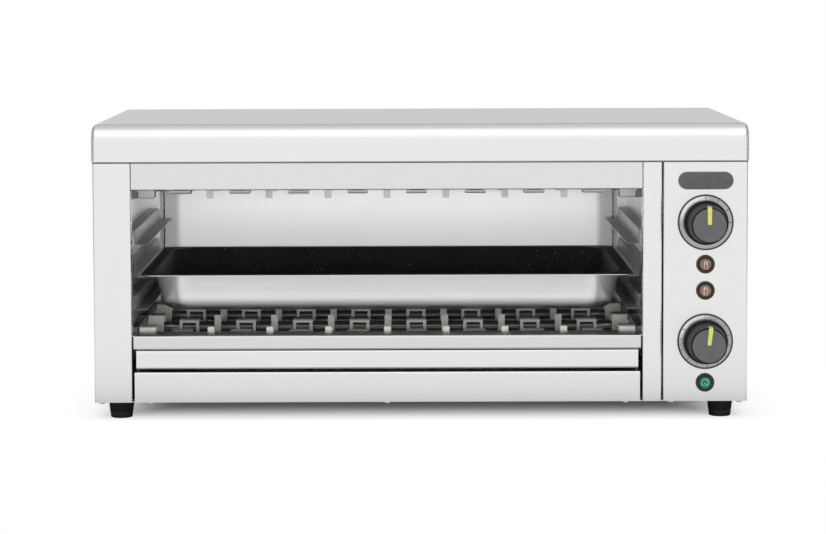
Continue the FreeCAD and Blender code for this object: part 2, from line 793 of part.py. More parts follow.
def make_gn_pan():
    """A drawn GN 1/1 pan that hangs on the rack's middle level by its flange."""
    z_under = z_rail_top - pan_level_index * rail_pitch + slide_gap
    z_top = z_under + pan_t
    z_floor_under = z_top - pan_h
    y0 = y_front + pan_front_d
    flange = rounded_plate(x_mid - pan_l / 2, x_mid + pan_l / 2, y0, y0 + pan_w, pan_flange_r,
                           z_under, z_top)
    outer, outer_rim = pan_form(0.0, z_under, z_floor_under)
    inner, inner_rim = pan_form(pan_t, z_top, z_floor_under + pan_t)
    # A bevel on each side follows the round floor edge and leaves the sheet its full thickness.
    bevel_share = 2 - math.sqrt(2)
    body = joined([flange, outer.makeChamfer(bevel_share * pan_floor_r, outer_rim)])
    return body.cut(inner.makeChamfer(bevel_share * (pan_floor_r - pan_t), inner_rim))


# Controls

def knob_form(grow):
    """The knob: a round skirt, and a tapered grip of narrow flats grown by a thickness."""
    skirt = rod(knob_skirt_r, V(0, 0, 0), V(0, -knob_skirt_h, 0))
    grip = faceted(knob_side_count, [(knob_grip_r + grow, knob_skirt_h), (knob_cap_r + grow, knob_len + grow)],
                   V(0, 0, 0), V(0, -1, 0))
    return joined([skirt, grip])


def pointer_form():
    """The pointer: a raised bar on the cap that bends over its edge and down the grip."""
    skin = knob_form(pointer_raise).cut(knob_form(0.0))
    y_cap = -knob_len - pointer_raise
    bar = block(-pointer_w / 2, pointer_w / 2, y_cap, -knob_len + pointer_side_len,
                pointer_tail, knob_skirt_r)
    return skin.common(bar)


def set_on_panel(shape, z, turn_deg):
    """Turns a knob piece to its rest angle and sets it in front of its dial plate."""
    copy = shape.copy()
    copy.rotate(V(0, 0, 0), V(0, 1, 0), turn_deg)
    copy.translate(V(x_ctrl, y_front - dial_t - knob_gap, z_base + z))
    return copy


def make_knob():
    bore = rod(shaft_r + shaft_fit, V(0, 0, 0), V(0, -knob_bore_len, 0))
    return knob_form(0.0).cut(bore)


def make_shaft(z):
    """A control shaft from its socket in the switch or timer to the end of the knob's bore."""
    y_tip = y_front - dial_t - knob_gap - knob_bore_len + shaft_end_gap
    y_end = y_front + casing_t + shaft_socket - shaft_end_gap
    return rod(shaft_r, V(x_ctrl, y_tip, z_base + z), V(x_ctrl, y_end, z_base + z))


def shaft_socket_cut(z):
    return rod(shaft_r + shaft_fit, V(x_ctrl, y_front, z_base + z),
               V(x_ctrl, y_front + casing_t + shaft_socket, z_base + z))


def make_dial_plate(z):
    place, out = V(x_ctrl, y_front, z_base + z), V(0, -1, 0)
    disc = faceted(dial_side_count, [(dial_r, 0), (dial_r, dial_t)], place, out)
    return disc.cut(faceted(dial_hole_side_count, [(dial_hole_r, -dial_t), (dial_hole_r, 2 * dial_t)],
                            place, out))


def spade_tag(x, y, z):
    return block(x - tag_w / 2, x + tag_w / 2, y, y + tag_len, z - tag_t / 2, z + tag_t / 2)


def square_bar(half, y0, y1, z):
    return block(x_ctrl - half, x_ctrl + half, y0, y1, z - half, z + half)


def make_selector_switch():
    """A rotary cam switch: a square body of stacked decks with spade tags at its rear."""
    y0, z = y_front + casing_t, z_base + selector_z
    deck = switch_d / switch_deck_count
    body = [square_bar(switch_w / 2 - switch_groove, y0, y0 + switch_d, z)]
    for i in range(switch_deck_count):
        front = y0 + i * deck + (switch_groove / 2 if i else 0.0)
        rear = y0 + (i + 1) * deck - (switch_groove / 2 if i < switch_deck_count - 1 else 0.0)
        body.append(square_bar(switch_w / 2, front, rear, z))
    tags = [spade_tag(x_ctrl + side * tag_pitch / 2, y0 + switch_d, z + step * tag_pitch)
            for side in (-1, 1) for step in (-1, 0, 1)]
    return joined(body + tags).cut(shaft_socket_cut(selector_z))


def make_timer_unit():
    """A mechanical timer: a mounting plate behind the panel, a square case and two spade tags."""
    y0, z = y_front + casing_t, z_base + timer_z
    y_case = y0 + timer_plate_t
    plate = square_bar(timer_plate_w / 2, y0, y_case, z)
    case = square_bar(timer_case_w / 2, y_case, y_case + timer_case_d, z)
    tags = [spade_tag(x_ctrl + side * tag_pitch / 2, y_case + timer_case_d, z) for side in (-1, 1)]
    return joined([plate, case] + tags).cut(shaft_socket_cut(timer_z))


def make_lamp_bezel(z):
    return faceted(bezel_side_count, [(lamp_r, 0), (lamp_r, lamp_bezel_h)],
                   V(x_ctrl, y_front, z_base + z), V(0, -1, 0))


def make_lens(z):
    """A pilot lamp's faceted cap on its bezel."""
    return faceted(lens_side_count, [(lens_r, 0), (lens_top_r, lens_rise)],
                   V(x_ctrl, y_front - lamp_bezel_h, z_base + z), V(0, -1, 0))


def make_badge_plate():
    """The bare oval plate above the upper knob."""
    w, h, z = badge_w / 2, badge_h / 2, z_base + badge_z
    corners = [(x_ctrl - w, z - h), (x_ctrl + w, z - h), (x_ctrl + w, z + h), (x_ctrl - w, z + h)]
    return prism(corners, "xz", y_front - badge_t, y_front, [h * 0.999] * len(corners))


# Rear entry and terminal block

def make_cable_gland():
    """A six-sided flange and cap outside the back panel, and a neck through it."""
    z = z_base + gland_z
    flange = hexagon(gland_flats, V(x_ctrl, y_rear, z), V(0, 1, 0), gland_hex_h)
    cap = faceted(gland_cap_side_count, [(gland_cap_r, 0), (gland_cap_r, gland_out)],
                  V(x_ctrl, y_rear, z), V(0, 1, 0))
    neck = rod(gland_neck_r, V(x_ctrl, y_flange - gland_in, z), V(x_ctrl, y_rear, z))
    bore = rod(gland_bore_r, V(x_ctrl, y_flange - 2 * gland_in, z), V(x_ctrl, y_rear + 2 * gland_out, z))
    return joined([flange, cap, neck]).cut(bore)


def make_terminal_block():
    """A block on the base tray, with ribs between the ways for the wires."""
    x0, y1 = x_ctrl - block_w / 2, y_flange - block_rear_gap
    top = z_floor + block_h
    body = block(x0, x0 + block_w, y1 - block_d, y1, z_floor, top)
    way_w = (block_w - block_rib_t) / block_way_count
    ways = [block(x0 + block_rib_t + i * way_w, x0 + (i + 1) * way_w, y1 - 2 * block_d, y1 + block_d,
                  top - block_way_depth, top + block_way_depth) for i in range(block_way_count)]
    return body.cut(ways)


# Feet and screws

def make_feet():
    """Four tapered rubber feet, each with a six-sided recess for its screw."""
    feet = []
    for x, y in foot_places():
        taper = faceted(foot_side_count, [(foot_low_r, 0), (foot_top_r, foot_h)], V(x, y, 0), V(0, 0, 1))
        feet.append(taper.cut(hexagon(foot_recess_flats, V(x, y, -foot_recess_h), V(0, 0, 1),
                                     2 * foot_recess_h)))
    return Part.makeCompound(feet)


def make_screws():
    """Screw heads in the feet, under the base, on the back panel and on the lid's rear skirt."""
    down, back = V(0, 0, -1), V(0, 1, 0)
    heads = [hexagon(foot_screw_flats, V(x, y, foot_recess_h), down, foot_screw_head_h)
             for x, y in foot_places()]
    heads += [hexagon(screw_flats, V(x, y, z_base), down, screw_head_h) for x, y in base_screw_places()]
    heads += [hexagon(screw_flats, V(x, y_rear, z), back, screw_head_h) for x, z in rear_screw_places()]
    heads += [hexagon(screw_flats, V(x, y_rear + lid_t, z), back, screw_head_h)
              for x, z in lid_screw_places()]
    return Part.makeCompound(heads)


# The finished set of pieces

def make_nodes():
    nodes = {
        "lid": make_lid(),
        "side_panel_left": make_side_panel_left(),
        "side_panel_right": make_side_panel_right(),
        "divider_wall": make_divider_wall(),
        "control_panel": make_control_panel(),
        "back_panel": make_back_panel(),
        "base_plate": make_base_plate(),
        "header_strip": make_header_strip(),
        "front_shelf": make_front_shelf(),
        "lower_front_panel": make_lower_front_panel(),
        "cavity_rear_wall": make_cavity_rear_wall(),
        "reflector": make_reflector(),
        "crumb_tray": make_crumb_tray(),
        "gn_pan": make_gn_pan(),
        "selector_switch": make_selector_switch(),
        "timer_unit": make_timer_unit(),
        "badge_plate": make_badge_plate(),
        "cable_gland": make_cable_gland(),
        "terminal_block": make_terminal_block(),
        "feet": make_feet(),
        "screws": make_screws(),
    }
    left_pieces = {
        "side_liner": make_side_liner(),
        "rack_rails": make_rack_rails(),
        "tray_runner": make_tray_runner(),
        "lower_bracket": make_element_bracket(),
        "upper_bracket": turned_over(make_element_bracket()),
    }
    for name, shape in left_pieces.items():
        nodes[name + "_left"] = shape
        nodes[name + "_right"] = mirrored(shape)
    guard, tube = make_guard(), make_quartz_tube()
    for row in range(row_count):
        for name, shape in (("guard", guard), ("tube", tube)):
            lower = moved_row(shape, row)
            nodes["lower_%s_%d" % (name, row + 1)] = lower
            nodes["upper_%s_%d" % (name, row + 1)] = turned_over(lower)
    left_caps = all_rows(make_tube_cap())
    nodes["tube_end_caps"] = Part.makeCompound(left_caps + [mirrored(s) for s in left_caps])
    knob, pointer = make_knob(), pointer_form()
    for name, z, turn in (("selector", selector_z, 0.0), ("timer", timer_z, timer_rest_deg)):
        nodes["knob_" + name] = set_on_panel(knob, z, turn)
        nodes["pointer_" + name] = set_on_panel(pointer, z, turn)
        nodes["shaft_" + name] = make_shaft(z)
    nodes["dial_plates"] = Part.makeCompound([make_dial_plate(z) for z in (selector_z, timer_z)])
    lamps = (lamp_upper_z, lamp_lower_z, lamp_power_z)
    nodes["lamp_lenses"] = Part.makeCompound([make_lens(z) for z in lamps])
    nodes["lamp_bezels"] = Part.makeCompound([make_lamp_bezel(z) for z in lamps])
    return nodes


os.makedirs("parts", exist_ok=True)
for node_name, node_shape in make_nodes().items():
    node_shape.exportStep("parts/%s.step" % node_name)
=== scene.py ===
# Looks of a countertop salamander grill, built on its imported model. Metres, X right, Y back, Z up.

import math

import bmesh
import bpy
from mathutils import Matrix, Vector


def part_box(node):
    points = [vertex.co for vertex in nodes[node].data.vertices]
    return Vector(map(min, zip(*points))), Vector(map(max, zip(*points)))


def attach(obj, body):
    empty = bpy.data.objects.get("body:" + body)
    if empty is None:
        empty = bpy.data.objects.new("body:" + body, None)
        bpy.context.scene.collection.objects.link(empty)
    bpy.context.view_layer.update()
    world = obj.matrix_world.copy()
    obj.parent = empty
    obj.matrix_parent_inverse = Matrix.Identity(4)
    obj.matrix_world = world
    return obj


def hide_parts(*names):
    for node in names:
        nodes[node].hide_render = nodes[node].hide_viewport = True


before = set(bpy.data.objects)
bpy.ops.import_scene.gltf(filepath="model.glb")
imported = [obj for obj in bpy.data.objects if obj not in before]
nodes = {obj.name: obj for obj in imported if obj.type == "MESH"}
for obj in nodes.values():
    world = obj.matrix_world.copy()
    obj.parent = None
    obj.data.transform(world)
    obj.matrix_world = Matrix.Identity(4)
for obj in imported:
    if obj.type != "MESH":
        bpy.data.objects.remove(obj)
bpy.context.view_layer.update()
scene = bpy.context.scene
scene.view_settings.view_transform = "Standard"


# Studio: a pale seamless floor that curves up behind the grill, four soft lamps and an even pale
# surround for the brushed sheet to mirror. A felt flag on each side, seen in reflections alone,
# draws the dark lines along the casing's folded edges.

def linear(hex_colour):
    """An sRGB hex colour as the linear colour that the shaders expect."""
    channels = [int(hex_colour[i:i + 2], 16) / 255 for i in (0, 2, 4)]
    return [c / 12.92 if c <= 0.04045 else ((c + 0.055) / 1.055) ** 2.4 for c in channels] + [1.0]


def connect(tree, node, sources):
    """Feeds a node's sockets. A node given as a source stands for its first output."""
    for name, source in sources.items():
        output = source if isinstance(source, bpy.types.NodeSocket) else source.outputs[0]
        tree.links.new(output, node.inputs[name])


def add_node(tree, kind, values=None, links=None, **settings):
    """Adds a shader node: its settings, the values of its sockets, and what feeds them."""
    made = tree.nodes.new("ShaderNode" + kind)
    for name, value in settings.items():
        setattr(made, name, value)
    for name, value in (values or {}).items():
        made.inputs[name].default_value = value
    connect(tree, made, links or {})
    return made


def maths(tree, operation, *terms, kind="Math"):
    """A sum over nodes, sockets and plain numbers, on one value or, as VectorMath, on three."""
    made = add_node(tree, kind, operation=operation)
    for i, term in enumerate(terms):
        if isinstance(term, (float, tuple)):
            made.inputs[i].default_value = term
        else:
            connect(tree, made, {i: term})
    return made


def ranged(tree, value, low, high, to_low=0.0, to_high=1.0, kind="SMOOTHSTEP"):
    """A value between two limits as a share between two others, which it doesn't pass."""
    limits = {"From Min": low, "From Max": high, "To Min": to_low, "To Max": to_high}
    return add_node(tree, "MapRange", limits, {"Value": value}, interpolation_type=kind)


def axes_of(tree, vector):
    """The three axes of a vector, by their names."""
    return add_node(tree, "SeparateXYZ", links={"Vector": vector}).outputs


def noise(tree, place, scale, detail=2.0):
    """A soft random pattern that stays with the piece; the scale is in cells for each metre."""
    return add_node(tree, "TexNoise", {"Scale": scale, "Detail": detail}, {"Vector": place["Object"]})


def toned(tree, value, *stops):
    """A value as a colour, from one stop (position, hex colour) to the next."""
    made = add_node(tree, "ValToRGB", links={"Fac": value})
    for element, (position, tone) in zip(made.color_ramp.elements, stops):
        element.position, element.color = position, linear(tone)
    return made


def tinted(tree, share, colour, tone):
    """A colour with a share of a second one over it."""
    mixed = add_node(tree, "Mix", {"B": linear(tone)}, {"Factor": share, "A": colour}, data_type="RGBA")
    return mixed.outputs["Result"]


def new_material(name, **constants):
    """A material with one main shader, which gets its constant values here, and the coordinates
    and directions of the piece itself, which its patterns follow."""
    material = bpy.data.materials.new(name)
    material.use_nodes = True
    shader = material.node_tree.nodes["Principled BSDF"]
    for socket, value in constants.items():
        shader.inputs[socket.replace("_", " ")].default_value = value
    return material, material.node_tree, shader, add_node(material.node_tree, "TexCoord").outputs


def stage_sheet(name, rows, material):
    """A sheet of the studio through two rows of points, which isn't part of the grill."""
    bm = bmesh.new()
    loops = [[bm.verts.new(point) for point in row] for row in rows]
    for i in range(len(loops[0]) - 1):
        bm.faces.new((loops[0][i], loops[1][i], loops[1][i + 1], loops[0][i + 1])).smooth = True
    mesh = bpy.data.meshes.new(name)
    bm.to_mesh(mesh)
    bm.free()
    mesh.materials.append(material)
    sheet = bpy.data.objects.new(name, mesh)
    scene.collection.objects.link(sheet)
    return sheet


def quarter_turn(steps):
    """The sines and cosines of the angles from 0 to 90 degrees."""
    return [(math.sin(math.pi / 2 * i / steps), math.cos(math.pi / 2 * i / steps))
            for i in range(steps + 1)]


def floor_paint():
    """Matt pale paint that keeps the grill's shadow. Past a band round the grill the camera sees it plain
    white, and reflections see it as an even glow, dimmer behind the grill, with painted shade under the grill
    and close round it."""
    material, tree, shader, place = new_material("painted_studio_floor", Roughness=0.9)
    paint = toned(tree, noise(tree, place, 9.0, 3.0), (0.0, "f0f0f0"), (1.0, "f4f4f4"))
    connect(tree, shader, {"Base Color": paint})
    low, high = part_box("base_plate")
    side_margin = 0.03
    centre = ((low.x + high.x) / 2, (low.y + high.y) / 2, 0.0)
    half = ((high.x - low.x) / 2 + side_margin, (high.y - low.y) / 2, 0.0)
    moved = maths(tree, "SUBTRACT", place["Object"], centre, kind="VectorMath")
    sized = maths(tree, "ABSOLUTE", moved, kind="VectorMath")
    past = axes_of(tree, maths(tree, "SUBTRACT", sized, half, kind="VectorMath"))
    away = maths(tree, "MAXIMUM", past["X"], past["Y"])
    ahead = ranged(tree, axes_of(tree, moved)["Y"], 1.0, -1.2, 0.72, 0.92)
    # Painted shade: in reflections the floor goes dark under the grill and close round it.
    near = ranged(tree, away, -0.03, 0.20, 0.04, 1.0)
    mirrored = add_node(tree, "Emission", links={"Strength": maths(tree, "MULTIPLY", ahead, near)})
    rays = add_node(tree, "LightPath").outputs
    matt = add_node(tree, "MixShader", links={0: rays["Is Glossy Ray"], 1: shader, 2: mirrored})
    cleared = maths(tree, "MULTIPLY", ranged(tree, away, -0.108, 0.028), rays["Is Camera Ray"])
    white = add_node(tree, "Emission", {"Strength": 1.0})
    shown = add_node(tree, "MixShader", links={0: cleared, 1: matt, 2: white})
    connect(tree, tree.nodes["Material Output"], {"Surface": shown})
    return material


def build_floor():
    """A flat floor, and a backdrop that curves up from it, seen in reflections alone."""
    half_w, near_y, far_y, rise, bend = 7.0, -7.5, 3.4, 1.3, 1.0
    flat = [(near_y, 0.0), (far_y - bend, 0.0)]
    curve = [(far_y - bend + bend * s, bend - bend * c) for s, c in quarter_turn(12)] + [(far_y, rise)]
    paint = floor_paint()
    for name, profile in (("studio_floor", flat), ("studio_backdrop", curve)):
        sheet = stage_sheet(name, [[(x, y, z) for y, z in profile] for x in (-half_w, half_w)], paint)
        sheet.visible_camera = name == "studio_floor"


def build_surround():
    """A white surround. Reflections see it dimmer towards the back and brighter overhead."""
    world = bpy.data.worlds.new("studio_surround")
    world.use_nodes = True
    scene.world = world
    tree = world.node_tree
    background = tree.nodes["Background"]
    background.inputs["Color"].default_value = linear("ffffff")
    rays = add_node(tree, "LightPath").outputs
    mirrored = maths(tree, "MAXIMUM", rays["Is Glossy Ray"], rays["Is Transmission Ray"])
    seen = maths(tree, "MAXIMUM", mirrored, rays["Is Camera Ray"])
    strength = ranged(tree, seen, 0.0, 1.0, 0.59, 1.0, kind="LINEAR")
    axes = axes_of(tree, add_node(tree, "TexCoord").outputs["Generated"])
    back, high = ranged(tree, axes["Y"], -0.45, 0.30), ranged(tree, axes["Z"], 0.10, 0.40)
    over = ranged(tree, axes["Z"], 0.35, 0.8, -0.06, 0.24)
    change = maths(tree, "MULTIPLY_ADD", maths(tree, "MULTIPLY", back, high), -0.60, over)
    lit = maths(tree, "MULTIPLY_ADD", change, rays["Is Glossy Ray"], 1.0)
    connect(tree, background, {"Strength": maths(tree, "MULTIPLY", strength, lit)})


def hang_lamps():
    """Soft lamps above, to the left, to the right and low in front, kept out of reflections."""
    target = Vector((0.0, 0.0, 0.15))
    for name, spot, size, power in (("lamp_above", (0.0, -0.9, 2.6), (3.4, 2.2), 44.0),
                                    ("lamp_left", (-2.6, -2.2, 0.9), (1.6, 1.2), 54.0),
                                    ("lamp_right", (2.6, -2.4, 0.9), (1.6, 1.2), 54.0),
                                    ("lamp_low", (0.0, -2.7, 0.32), (0.9, 0.4), 52.0)):
        light = bpy.data.lights.new(name, "AREA")
        light.shape = "RECTANGLE"
        light.size, light.size_y = size
        light.energy = power
        lamp = bpy.data.objects.new(name, light)
        lamp.location = spot
        lamp.rotation_euler = (target - lamp.location).to_track_quat("-Z", "Y").to_euler()
        lamp.visible_glossy = False
        scene.collection.objects.link(lamp)


def hang_flags():
    """Dark felt, matt and woven, upright on each side of the grill and closer to it at the back."""
    material, tree, shader, place = new_material("dark_felt_flag", Roughness=1.0)
    felt = toned(tree, noise(tree, place, 300.0), (0.0, "868686"), (1.0, "909090"))
    connect(tree, shader, {"Base Color": felt})
    front, back, height = (1.9, -1.8), (1.35, 1.7), 2.0
    for side, sign in (("left", -1), ("right", 1)):
        rows = [[(sign * x, y, z) for x, y in (front, back)] for z in (0.0, height)]
        flag = stage_sheet("side_flag_" + side, rows, material)
        flag.visible_camera = flag.visible_diffuse = flag.visible_shadow = flag.visible_transmission = False


def place_camera():
    """A long lens nearly level with the lid, a little left of the grill's middle."""
    camera = bpy.data.cameras.new("camera")
    camera.sensor_width, camera.lens = 36.0, 120.74
    camera.shift_x, camera.shift_y = 0.011, -0.1
    stand = bpy.data.objects.new("camera", camera)
    stand.location = (-0.0173, -3.10, 0.4672)
    tilt, roll = math.radians(90.0 - 4.198), math.radians(-0.176)
    aim = Matrix.Rotation(tilt, 3, "X") @ Matrix.Rotation(roll, 3, "Z")
    stand.rotation_euler = aim.to_euler()
    scene.collection.objects.link(stand)
    scene.camera = stand


build_floor()
build_surround()
hang_lamps()
hang_flags()
place_camera()


# Outer casing: stainless sheet, 1.0 to 1.2 mm, brushed along its length at the mill and folded.
# The grain runs from side to side on every outer piece, and handling leaves faint cloudy tones.

def brushed_stainless(name, tone, dark_tone, along, roughness=0.27, streak_mm=1.6, streak_len_mm=190.0,
                      metal=1.0):
    """Brushed stainless: hair-fine lines that stretch each reflection across the grain. A face that
    looks along the grain's axis takes the next axis, as sheet folded from another strip does. The
    lines are 1.6 mm wide, coarser than the real 0.1 mm grit, which would be lost at this distance."""
    material, tree, shader, place = new_material(name, Metallic=metal)
    grains = []
    for axis in (along, "YZX"["XYZ".index(along)]):
        scales = [1000.0 / streak_mm] * 3
        scales["XYZ".index(axis)] = 1000.0 / streak_len_mm
        grains.append(add_node(tree, "Mapping", {"Scale": scales}, {"Vector": place["Object"]}))
    sideways = maths(tree, "ABSOLUTE", axes_of(tree, place["Normal"])[along])
    end_on = maths(tree, "GREATER_THAN", sideways, 0.75)
    stretched = add_node(tree, "Mix", links={"Factor": end_on, "A": grains[0], "B": grains[1]},
                         data_type="VECTOR")
    lines = add_node(tree, "TexNoise", {"Scale": 1.0, "Detail": 4.0, "Roughness": 0.65},
                     {"Vector": stretched.outputs["Result"]})
    mixed = maths(tree, "MULTIPLY_ADD", lines, noise(tree, place, 9.0), 0.35)
    tones = toned(tree, mixed, (0.35, dark_tone), (0.80, tone))
    rough = ranged(tree, lines, 0.3, 0.7, roughness - 0.015, roughness + 0.02, kind="LINEAR")
    bump = add_node(tree, "Bump", {"Strength": 0.1, "Distance": 0.000002}, {"Height": lines})
    connect(tree, shader, {"Base Color": tones, "Roughness": rough, "Normal": bump})
    return material


def finish(material, *names):
    """Gives CAD nodes their finish."""
    for name in names:
        mesh = nodes[name].data
        mesh.materials.clear()
        mesh.materials.append(material)


# The casing's sheet is nearly white. The header and the shelf, which stand a little in its shade, get slightly
# darker copies of it: painted shade.
casing_stainless = brushed_stainless("brushed_stainless_casing", "f4f4f3", "f1f1f0", "X")
finish(casing_stainless, "lid", "lower_front_panel", "back_panel", "base_plate", "crumb_tray",
       "side_panel_left", "side_panel_right", "divider_wall", "control_panel")
finish(brushed_stainless("brushed_stainless_header_painted_shade", "e9e9e8", "e6e6e5", "X"), "header_strip")
finish(brushed_stainless("brushed_stainless_shelf_painted_shade", "e4e4e3", "e1e1e0", "X"), "front_shelf")


# Lid: one sheet of 1.2 mm, rolled over its front edge by 18 mm, with rounded ends and a small
# round hem along the foot of its skirts, which lap over the casing's walls.

def new_piece(name, bm, material, body, smooth_deg=35.0, place=(0.0, 0.0, 0.0)):
    """Turns a form into a piece that rides on one body, smooth except over its sharp edges."""
    for face in bm.faces:
        face.smooth = True
    for edge in bm.edges:
        if len(edge.link_faces) == 2 and edge.calc_face_angle(0.0) > math.radians(smooth_deg):
            edge.smooth = False
    mesh = bpy.data.meshes.new(name)
    bm.to_mesh(mesh)
    bm.free()
    mesh.materials.append(material)
    piece = bpy.data.objects.new(name, mesh)
    piece.location = place
    scene.collection.objects.link(piece)
    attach(piece, body)
    return piece


def lid_profile(low, high, roll_r, rear_r, beside):
    """The lid seen from its end, in millimetres: points (y, z) and outward directions (y, z)."""
    front, rear, foot, top = low.y * 1000, high.y * 1000, low.z * 1000, high.z * 1000
    ahead, up, behind = (-1.0, 0.0), (0.0, 1.0), (1.0, 0.0)
    profile = [((front, foot), ahead), ((front, foot + beside), ahead),
               ((front, top - roll_r - beside), ahead)]
    profile += [((front + roll_r - roll_r * c, top - roll_r + roll_r * s), (-c, s))
                for s, c in quarter_turn(20)]
    profile += [((front + roll_r + beside, top), up), ((rear - rear_r - beside, top), up)]
    profile += [((rear - rear_r + rear_r * s, top - rear_r + rear_r * c), (s, c))
                for s, c in quarter_turn(10)]
    return profile + [((rear, top - rear_r - beside), behind), ((rear, foot + beside), behind),
                      ((rear, foot), behind)]


def rolled_cap(low, high):
    """The lid's outer skin, its inner skin and its round hem."""
    roll_r, rear_r, side_r, sheet, hem_r, beside = 18.0, 8.0, 5.0, 1.2, 1.0, 0.6
    half_x, x_mid = (high.x - low.x) * 500, (high.x + low.x) * 500
    profile = lid_profile(low, high, roll_r, rear_r, beside)
    end = [(half_x - side_r - beside, 0.0)]
    end += [(half_x - side_r + side_r * s, side_r - side_r * c) for s, c in quarter_turn(8)]
    end.append((half_x, side_r + 0.5))
    columns = [(x_mid - x, drop) for x, drop in end[::-1]] + [(x_mid + x, drop) for x, drop in end]
    bm = bmesh.new()
    grid = [[bm.verts.new((x / 1000, (y - ny * drop) / 1000, (z - max(nz, 0.0) * drop) / 1000))
             for (y, z), (ny, nz) in profile] for x, drop in columns]
    for near, far in zip(grid, grid[1:]):
        for i in range(len(profile) - 1):
            bm.faces.new((near[i], near[i + 1], far[i + 1], far[i]))
    bm.faces.new(grid[0][::-1])
    bm.faces.new(grid[-1])
    bmesh.ops.recalc_face_normals(bm, faces=bm.faces)
    if sum(f.normal.z * f.calc_area() for f in bm.faces) < 0:
        bmesh.ops.reverse_faces(bm, faces=bm.faces)
    bmesh.ops.solidify(bm, geom=list(bm.faces), thickness=sheet / 1000)
    centre = (low + high) / 2
    rim = [e for e in bm.edges if all(abs(v.co.z - low.z) < 1e-6 for v in e.verts)
           and any(abs(f.normal.z) < 0.5 and f.normal.dot(e.verts[0].co - centre) > 0 for f in e.link_faces)]
    bmesh.ops.bevel(bm, geom=rim, offset=hem_r / 1000, segments=4, affect="EDGES")
    return bm


lid_low, lid_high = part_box("lid")
lid_piece = new_piece("rolled_lid", rolled_cap(lid_low, lid_high), casing_stainless, "casing",
                      40.0)
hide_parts("lid")


# Cavity lining: thinner stainless sheet, brighter at the back, where the heat and the light of the
# tubes come off it, and duller on the side walls and the rack's pressed rails. Each liner ends in
# a narrow return beside the rear wall.

def repainted(material, change):
    """The same sheet with its colour changed: change adds nodes between the colour and the shader."""
    tree = material.node_tree
    shader = tree.nodes["Principled BSDF"]
    connect(tree, shader, {"Base Color": change(tree, shader.inputs["Base Color"].links[0].from_socket)})
    return material


def dulled(material, axis, middle, start, end, share):
    """The same sheet with painted shade: its colour fades darker between two distances from a middle, in
    metres.
    """
    def change(tree, colour):
        spot = axes_of(tree, add_node(tree, "TexCoord").outputs["Object"])
        out = maths(tree, "ABSOLUTE", maths(tree, "SUBTRACT", spot[axis], middle))
        fade = ranged(tree, out, start, end, 1.0, share)
        return add_node(tree, "VectorMath", links={0: colour, "Scale": fade}, operation="SCALE")
    return repainted(material, change)


def with_sawn_ends(material):
    """The same sheet, dark grey on the cut edges that look to the front."""
    def change(tree, colour):
        facing = axes_of(tree, add_node(tree, "TexCoord").outputs["Normal"])
        return tinted(tree, maths(tree, "LESS_THAN", facing["Y"], -0.9), colour, "5c5d60")
    return repainted(material, change)


def lining_stainless(name):
    """Bright annealed sheet: an even white glow with only a soft mirror image in it."""
    return brushed_stainless(name, "fbfbfa", "f8f8f7", "X", roughness=0.24, metal=0.33)


def soft_block(bm, corner, opposite, soft_mm):
    """Adds a block between two corners, in metres, with softened edges."""
    verts = bmesh.ops.create_cube(bm, size=1.0)["verts"]
    for vert in verts:
        vert.co = (corner + opposite) / 2 + vert.co * (opposite - corner)
    edges = list(dict.fromkeys(edge for vert in verts for edge in vert.link_edges))
    bmesh.ops.bevel(bm, geom=edges, offset=soft_mm / 1000, segments=2, affect="EDGES")


finish(lining_stainless("bright_stainless_lining"), "reflector")
wall_low, wall_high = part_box("cavity_rear_wall")
wall_mid, wall_half = (wall_low.x + wall_high.x) / 2, (wall_high.x - wall_low.x) / 2
# Painted shade: the rear wall darkens towards its two side edges, in the corners where it meets the side
# liners.
corner_shade_w, corner_shade_fade = 0.021, 0.009
finish(dulled(lining_stainless("bright_stainless_rear_wall"), "X", wall_mid, start=wall_half - corner_shade_w,
              end=wall_half - corner_shade_w + corner_shade_fade, share=0.55), "cavity_rear_wall")
# The liners' grain stands upright, and the rails' runs from front to back, as they were pressed.
finish(brushed_stainless("satin_stainless_liner", "f6f6f4", "ececea", "Z", roughness=0.22,
                         streak_len_mm=60.0, metal=0.4), "side_liner_left", "side_liner_right")
rails = brushed_stainless("satin_stainless_rails", "a4a4a2", "989896", "Y", roughness=0.32, metal=0.75)
finish(with_sawn_ends(rails), "rack_rails_left", "rack_rails_right")
# Zinc-coated sheet, bluish and dull, for what only holds the tubes and the tray.
finish(brushed_stainless("galvanised_sheet", "a9abac", "83868a", "Y", roughness=0.42),
       "lower_bracket_left", "lower_bracket_right", "upper_bracket_left", "upper_bracket_right",
       "tray_runner_left", "tray_runner_right")
return_stainless = brushed_stainless("satin_stainless_return", "bebebc", "b4b4b2", "Z", roughness=0.26,
                                     streak_len_mm=60.0, metal=0.7)
# The right return is the left one turned inside out, and its softened edges stand proud.
return_w, return_lap, return_t, return_end = 0.0023, 0.0003, 0.0008, 0.001
for side in ("left", "right"):
    low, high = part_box("side_liner_" + side)
    inner_x, inwards = (high.x, 1) if side == "left" else (low.x, -1)
    bm = bmesh.new()
    soft_block(bm, Vector((inner_x - inwards * return_lap, high.y - return_t, low.z + return_end)),
               Vector((inner_x + inwards * return_w, high.y, high.z - return_end)), 0.2)
    new_piece("side_liner_%s_return" % side, bm, return_stainless, "casing")


# Pan: a drawn gastronorm 1/1 pan in bright stainless, 0.9 mm, that hangs on the rack by its flange.
# Its inside and its flange carry a black non-stick coating with fine pale specks.

pan_low, pan_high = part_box("gn_pan")
pan_x, pan_y = (pan_low.x + pan_high.x) * 500, (pan_low.y + pan_high.y) * 500
pan_half_x, pan_half_y = (pan_high.x - pan_low.x) * 500, (pan_high.y - pan_low.y) * 500
pan_top, pan_foot = pan_high.z * 1000, pan_low.z * 1000
pan_sheet, flange_w, flange_r, corner_r, draft, floor_r = 0.9, 12.5, 16.0, 42.0, 9.0, 12.0


